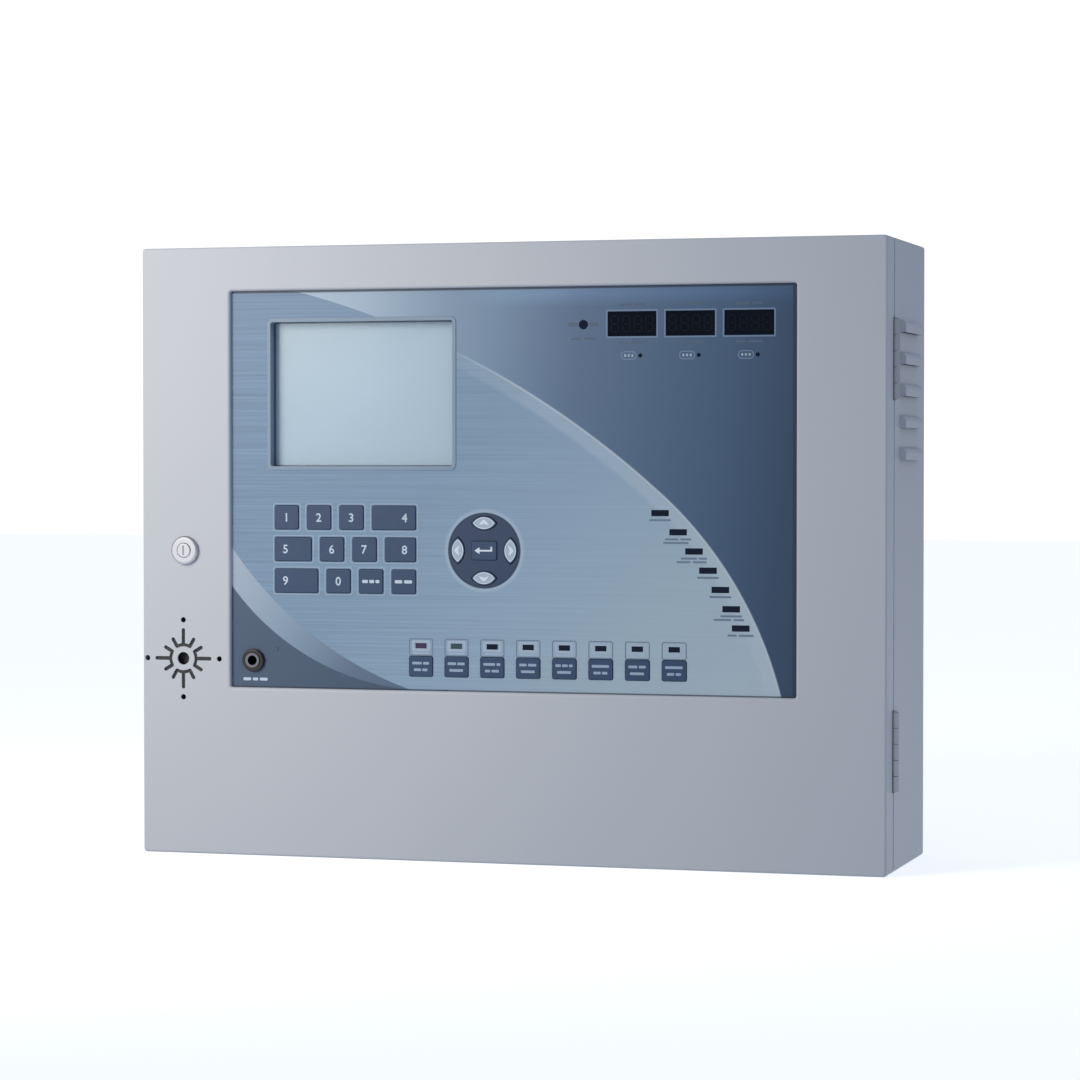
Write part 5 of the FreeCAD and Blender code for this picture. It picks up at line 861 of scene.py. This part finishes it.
def digit_mark(digit):
    """The digit on a key: in its middle, or near one end of a wide key."""
    node = f"key_{digit}"
    cap = front_box(node)
    side = ALIGNED.get(digit, 0)
    x = cap.middle.x + side * (cap.wide / 2 - DIGIT_INSET)
    mesh = glyph(f"mark_{node}", digit, DIGIT_TALL, x, cap.middle.z, cap.low.y)
    shown(f"mark_{node}", mesh, node, "light_ink")


def command_mark(node, lengths):
    """One line of small print across a key."""
    cap = front_box(node)
    marks = Marks(cap.low.y)
    marks.words(cap.middle.x, cap.middle.z, cap.wide * 0.72, 2.1 * MM, lengths)
    marks.piece(f"mark_{node}", node, "light_ink", "key_plastic")


# Outlines in millimetres from a key's middle: (along, outwards) and (right, up)
ARROWHEAD = [(-3.3, -1.3), (0, -0.3), (3.3, -1.3), (1.9, 0.9), (0, 2.3), (-1.9, 0.9)]
RETURN_ARROW = [(-6.4, 0), (-2.9, -2.2), (-2.9, -0.55), (5.6, -0.55), (5.6, 2.6), (4.5, 2.6),
                (4.5, 0.55), (-2.9, 0.55), (-2.9, 2.2)]


def arrow_mark(node, turn_x, turn_z):
    """A lens with a soft field and a curved arrowhead that points away from the middle."""
    cap = front_box(node)
    field, marks = Marks(cap.low.y), Marks(cap.low.y - INK)
    upright = turn_x != 0
    long, short = (cap.tall, cap.wide) if upright else (cap.wide, cap.tall)
    field.shape(lens(cap.middle.x, cap.middle.z, long * 0.8, short * 0.76, upright))
    field.piece(f"field_{node}", node, "pale_ink", "key_plastic")
    marks.shape(lens(cap.middle.x, cap.middle.z, long * 0.86, short * 0.86, upright),
                lens(cap.middle.x, cap.middle.z, long * 0.78, short * 0.74, upright))
    marks.shape([(cap.middle.x + (along * turn_z + out * turn_x) * MM,
                  cap.middle.z + (out * turn_z - along * turn_x) * MM) for along, out in ARROWHEAD])
    marks.piece(f"mark_{node}", node, "white_ink", "key_plastic")


def enter_mark():
    """A return arrow: head at the left, shaft, and a short rise at the right."""
    node = "key_enter"
    cap = front_box(node)
    x, z = cap.middle.x, cap.middle.z
    marks = Marks(cap.low.y)
    marks.shape([(x + right * MM, z + up * MM) for right, up in RETURN_ARROW])
    marks.piece(f"mark_{node}", node, "white_ink", "key_plastic")


FUNCTION_WORDS = [((0.5, 0.32), (0.42, 0.3)), ((0.45, 0.4), (0.3,)), ((0.6, 0.2), (0.25, 0.35)),
                  ((0.35, 0.4), (0.5,)), ((0.3, 0.3, 0.2), (0.55,)), ((0.62,), (0.4, 0.3)),
                  ((0.4, 0.3), (0.6,)), ((0.7,), (0.35, 0.25))]


def function_mark(number):
    """Two lines of small print across a key."""
    node = f"key_function_{number + 1}"
    cap = front_box(node)
    marks = Marks(cap.low.y)
    for line, lengths in enumerate(FUNCTION_WORDS[number]):
        wide = cap.wide * (0.72 if line == 0 else 0.58)
        marks.words(cap.middle.x, cap.middle.z + (2.1 - 4.3 * line) * MM, wide, 1.7 * MM, lengths)
    marks.piece(f"mark_{node}", node, "line_ink", "key_plastic")


for digit in DIGITS:
    digit_mark(digit)
for node, lengths in COMMAND_KEYS.items():
    command_mark(node, lengths)
for node, turn_x, turn_z in (("key_arrow_up", 0, 1), ("key_arrow_down", 0, -1),
                             ("key_arrow_left", -1, 0), ("key_arrow_right", 1, 0)):
    arrow_mark(node, turn_x, turn_z)
enter_mark()
for number in range(len(FUNCTION_WORDS)):
    function_mark(number)


# ---------------------------------------------------------------- marks on the film

STATUS_WORDS = [((0.5,),), ((0.5, 0.4), (0.3,)), ((0.6, 0.3), (0.4, 0.4)), ((0.5,),), ((0.4,),),
                ((0.4,), (0.5, 0.3)), ((0.3, 0.5),)]
CAPTION = 17 * MM


def film_marks():
    """Dashes for small print, frames round lamps and windows, and lines round the keys."""
    light, dark, soft, line, rim, pale = (Marks(FACE) for _ in range(6))
    lamps = sorted(STATUS_LAMPS, key=lambda lamp: -lamp.middle.z)
    for lamp, rows in zip(lamps, STATUS_WORDS):
        for row, lengths in enumerate(rows):
            wide = (11 + 2.6 * row + 3 * len(lengths)) * MM
            soft.words(lamp.middle.x - 1.5 * row * MM, lamp.low.z - (2.6 + 2.3 * row) * MM, wide,
                       1.3 * MM, lengths)
    for lamp in FUNCTION_LAMPS:
        x, z = lamp.middle.x, lamp.middle.z - 0.9 * MM
        soft.frame(x, z, 16.4 * MM, 11.4 * MM, 0.7 * MM, 1.4 * MM)
        pale.frame(x, lamp.middle.z, 12.4 * MM, 7 * MM, 1.7 * MM, 1.2 * MM)
        pale.bar(x, z - 3.9 * MM, 11 * MM, 1 * MM)
    for node in [f"key_{digit}" for digit in DIGITS] + list(COMMAND_KEYS):
        outline_key(line, node)
    for window in DIGIT_WINDOWS:
        rim.frame(window.middle.x, window.middle.z, window.wide + 2.6 * MM, window.tall + 2.6 * MM,
                  0.9 * MM, 0.8 * MM)
        dark.words(window.middle.x, window.high.z + 4.4 * MM, CAPTION, 1.5 * MM, (0.4, 0.3))
        dark.words(window.middle.x, window.low.z - 4.2 * MM, CAPTION, 1.5 * MM, (0.3, 0.45))
    for lamp in ICON_LAMPS:
        x, z = lamp.middle.x - 7.6 * MM, lamp.middle.z
        rim.frame(x, z, 10.5 * MM, 5.4 * MM, 0.6 * MM, 2.6 * MM)
        for place in (-2.4, 0, 2.4):
            pale.bar(x + place * MM, z, 1.3 * MM, 1.7 * MM, 0.5 * MM)
    bell = BELL_LAMP.middle
    for side in (-1, 1):
        dark.bar(bell.x + 6.9 * side * MM, bell.z, 6.2 * MM, 2.8 * MM, 0.6 * MM)
    dark.words(bell.x, bell.z - 9 * MM, CAPTION, 1.5 * MM, (0.35, 0.4))
    jack = node_box("jack_nut")
    light.words(jack.middle.x + 1 * MM, jack.low.z - 5 * MM, CAPTION, 1.9 * MM, (0.3, 0.2, 0.3))
    for marks, name, finish in ((pale, "print_pale", "pale_ink"), (rim, "print_rims", "rim_ink"),
                                (light, "print_light", "light_ink"), (dark, "print_dark", "dark_ink"),
                                (soft, "print_soft", "soft_ink"), (line, "print_lines", "line_ink")):
        marks.piece(name, "door", finish, "overlay_print")


def outline_key(marks, node):
    """A fine line round a key's opening."""
    cap = front_box(node)
    around = 2.9 * MM
    marks.frame(cap.middle.x, cap.middle.z, cap.wide + around, cap.tall + around, 0.55 * MM, 1.6 * MM)


FIGURE_PITCH, FIGURE_RISE, FIGURE_LINE = 7.6 * MM, 4.9 * MM, 0.85 * MM


def unlit_digits():
    """Four unlit seven-bar figures behind each smoked filter."""
    marks = Marks(DIGIT_WINDOWS[0].low.y)
    for window in DIGIT_WINDOWS:
        for place in range(4):
            x = window.middle.x + (place - 1.5) * FIGURE_PITCH
            z = window.middle.z
            for level in (-1, 0, 1):
                marks.bar(x, z + level * FIGURE_RISE, 3.5 * MM, FIGURE_LINE, 0.4 * MM)
            for side in (-1, 1):
                for level in (-0.5, 0.5):
                    marks.bar(x + side * 2.35 * MM, z + level * FIGURE_RISE, FIGURE_LINE, 3.8 * MM,
                              0.4 * MM)
            marks.bar(x + 3.7 * MM, z - FIGURE_RISE, 0.8 * MM, 0.8 * MM, 0.4 * MM)
    marks.piece("unlit_digits", "door", "segment", "display_black")


film_marks()
unlit_digits()


def battery_marks(node):
    """A plain label on the battery's front, with two lines of small print."""
    case = node_box(node)
    strap = node_box("battery_strap")
    marks = Marks(case.low.y)
    z = (strap.high.z + case.high.z) / 2 - 10 * MM
    marks.bar(case.middle.x, z, case.wide * 0.62, 15 * MM, 1 * MM)
    marks.piece(f"label_{node}", "cabinet", "label_silver", "battery_case")
    lines = Marks(case.low.y - INK)
    lines.words(case.middle.x, z + 3 * MM, case.wide * 0.42, 2.4 * MM, (0.3, 0.2, 0.4))
    lines.words(case.middle.x, z - 2.5 * MM, case.wide * 0.5, 1.6 * MM, (0.5, 0.3, 0.3, 0.2))
    lines.piece(f"label_print_{node}", "cabinet", "dark_ink", "battery_case")


for node in BATTERIES:
    battery_marks(node)


# ---------------------------------------------------------------- floor, light and camera

FLOOR_HALF, FLOOR_GAP = 9, 0.2 * MM
SURROUND, SURROUND_LIGHT, SEEN_LIGHT = (0.735, 0.83, 1.0, 1), 0.46, 1.05


def floor():
    """A wide pale floor under the box. Its own glow evens it out and doesn't light the panel."""
    sheet = bmesh.new()
    bmesh.ops.create_grid(sheet, x_segments=8, y_segments=8, size=FLOOR_HALF)
    mesh = bpy.data.meshes.new("floor")
    sheet.to_mesh(mesh)
    sheet.free()
    ground = bpy.data.objects.new("floor", mesh)
    ground.location.z = node_box("back_box").low.z - FLOOR_GAP
    bpy.context.scene.collection.objects.link(ground)
    paint = Paint("floor_white", (0.92, 0.92, 0.93), 0.9, Specular_IOR_Level=0.1)
    paint.put(paint.shader.inputs["Emission Color"], (0.97, 0.98, 1.0))
    paint.put(paint.shader.inputs["Emission Strength"], 0.64)
    paint.rough(0.85 + paint.noise(40) * 0.1)
    mesh.materials.append(paint.material)
    ground.visible_diffuse = False


def area_light(name, place, target, size, power, colour, spread):
    """A rectangular lamp that looks at a target, with its spread in degrees."""
    lamp = bpy.data.lights.new(name, "AREA")
    lamp.shape = "RECTANGLE"
    lamp.size, lamp.size_y = size
    lamp.energy = power
    lamp.color = colour
    lamp.spread = math.radians(spread)
    holder = bpy.data.objects.new(name, lamp)
    holder.location = place
    holder.rotation_euler = (Vector(target) - Vector(place)).to_track_quat("-Z", "Y").to_euler()
    bpy.context.scene.collection.objects.link(holder)


def studio():
    """Soft light from the left, and an even pale surround."""
    world = bpy.data.worlds.new("studio")
    world.use_nodes = True
    tree = world.node_tree
    plain = tree.nodes["Background"]
    plain.inputs["Color"].default_value = SURROUND
    plain.inputs["Strength"].default_value = SURROUND_LIGHT
    seen = tree.nodes.new("ShaderNodeBackground")
    seen.inputs["Color"].default_value = (1, 1, 1, 1)
    seen.inputs["Strength"].default_value = SEEN_LIGHT
    path = tree.nodes.new("ShaderNodeLightPath")
    choose = tree.nodes.new("ShaderNodeMixShader")
    tree.links.new(path.outputs["Is Camera Ray"], choose.inputs[0])
    tree.links.new(plain.outputs[0], choose.inputs[1])
    tree.links.new(seen.outputs[0], choose.inputs[2])
    tree.links.new(choose.outputs[0], tree.nodes["World Output"].inputs["Surface"])
    bpy.context.scene.world = world
    area_light("key_light", place=(-0.62, -0.98, 0.40), target=(-0.28, -0.13, 0.05),
               size=(0.45, 0.6), power=2.1, colour=(1.0, 0.93, 0.82), spread=90)
    view = bpy.context.scene.view_settings
    view.view_transform = "Standard"
    view.look = "None"


CAMERA_PLACE, CAMERA_TURN, CAMERA_TILT = (0.6491, -2.2166, 0.0587), 16.65, 1.31
LENS, SENSOR = 113.4, 36


def camera():
    """Stands to the right of the panel, a little above its middle, and looks slightly down."""
    turn, tilt = math.radians(CAMERA_TURN), math.radians(CAMERA_TILT)
    data = bpy.data.cameras.new("camera")
    data.lens = LENS
    data.sensor_width = SENSOR
    data.clip_start = 50 * MM
    holder = bpy.data.objects.new("camera", data)
    aim = Vector((-math.sin(turn) * math.cos(tilt), math.cos(turn) * math.cos(tilt), -math.sin(tilt)))
    holder.location = CAMERA_PLACE
    holder.rotation_euler = aim.to_track_quat("-Z", "Y").to_euler()
    bpy.context.scene.collection.objects.link(holder)
    bpy.context.scene.camera = holder


floor()
studio()
camera()
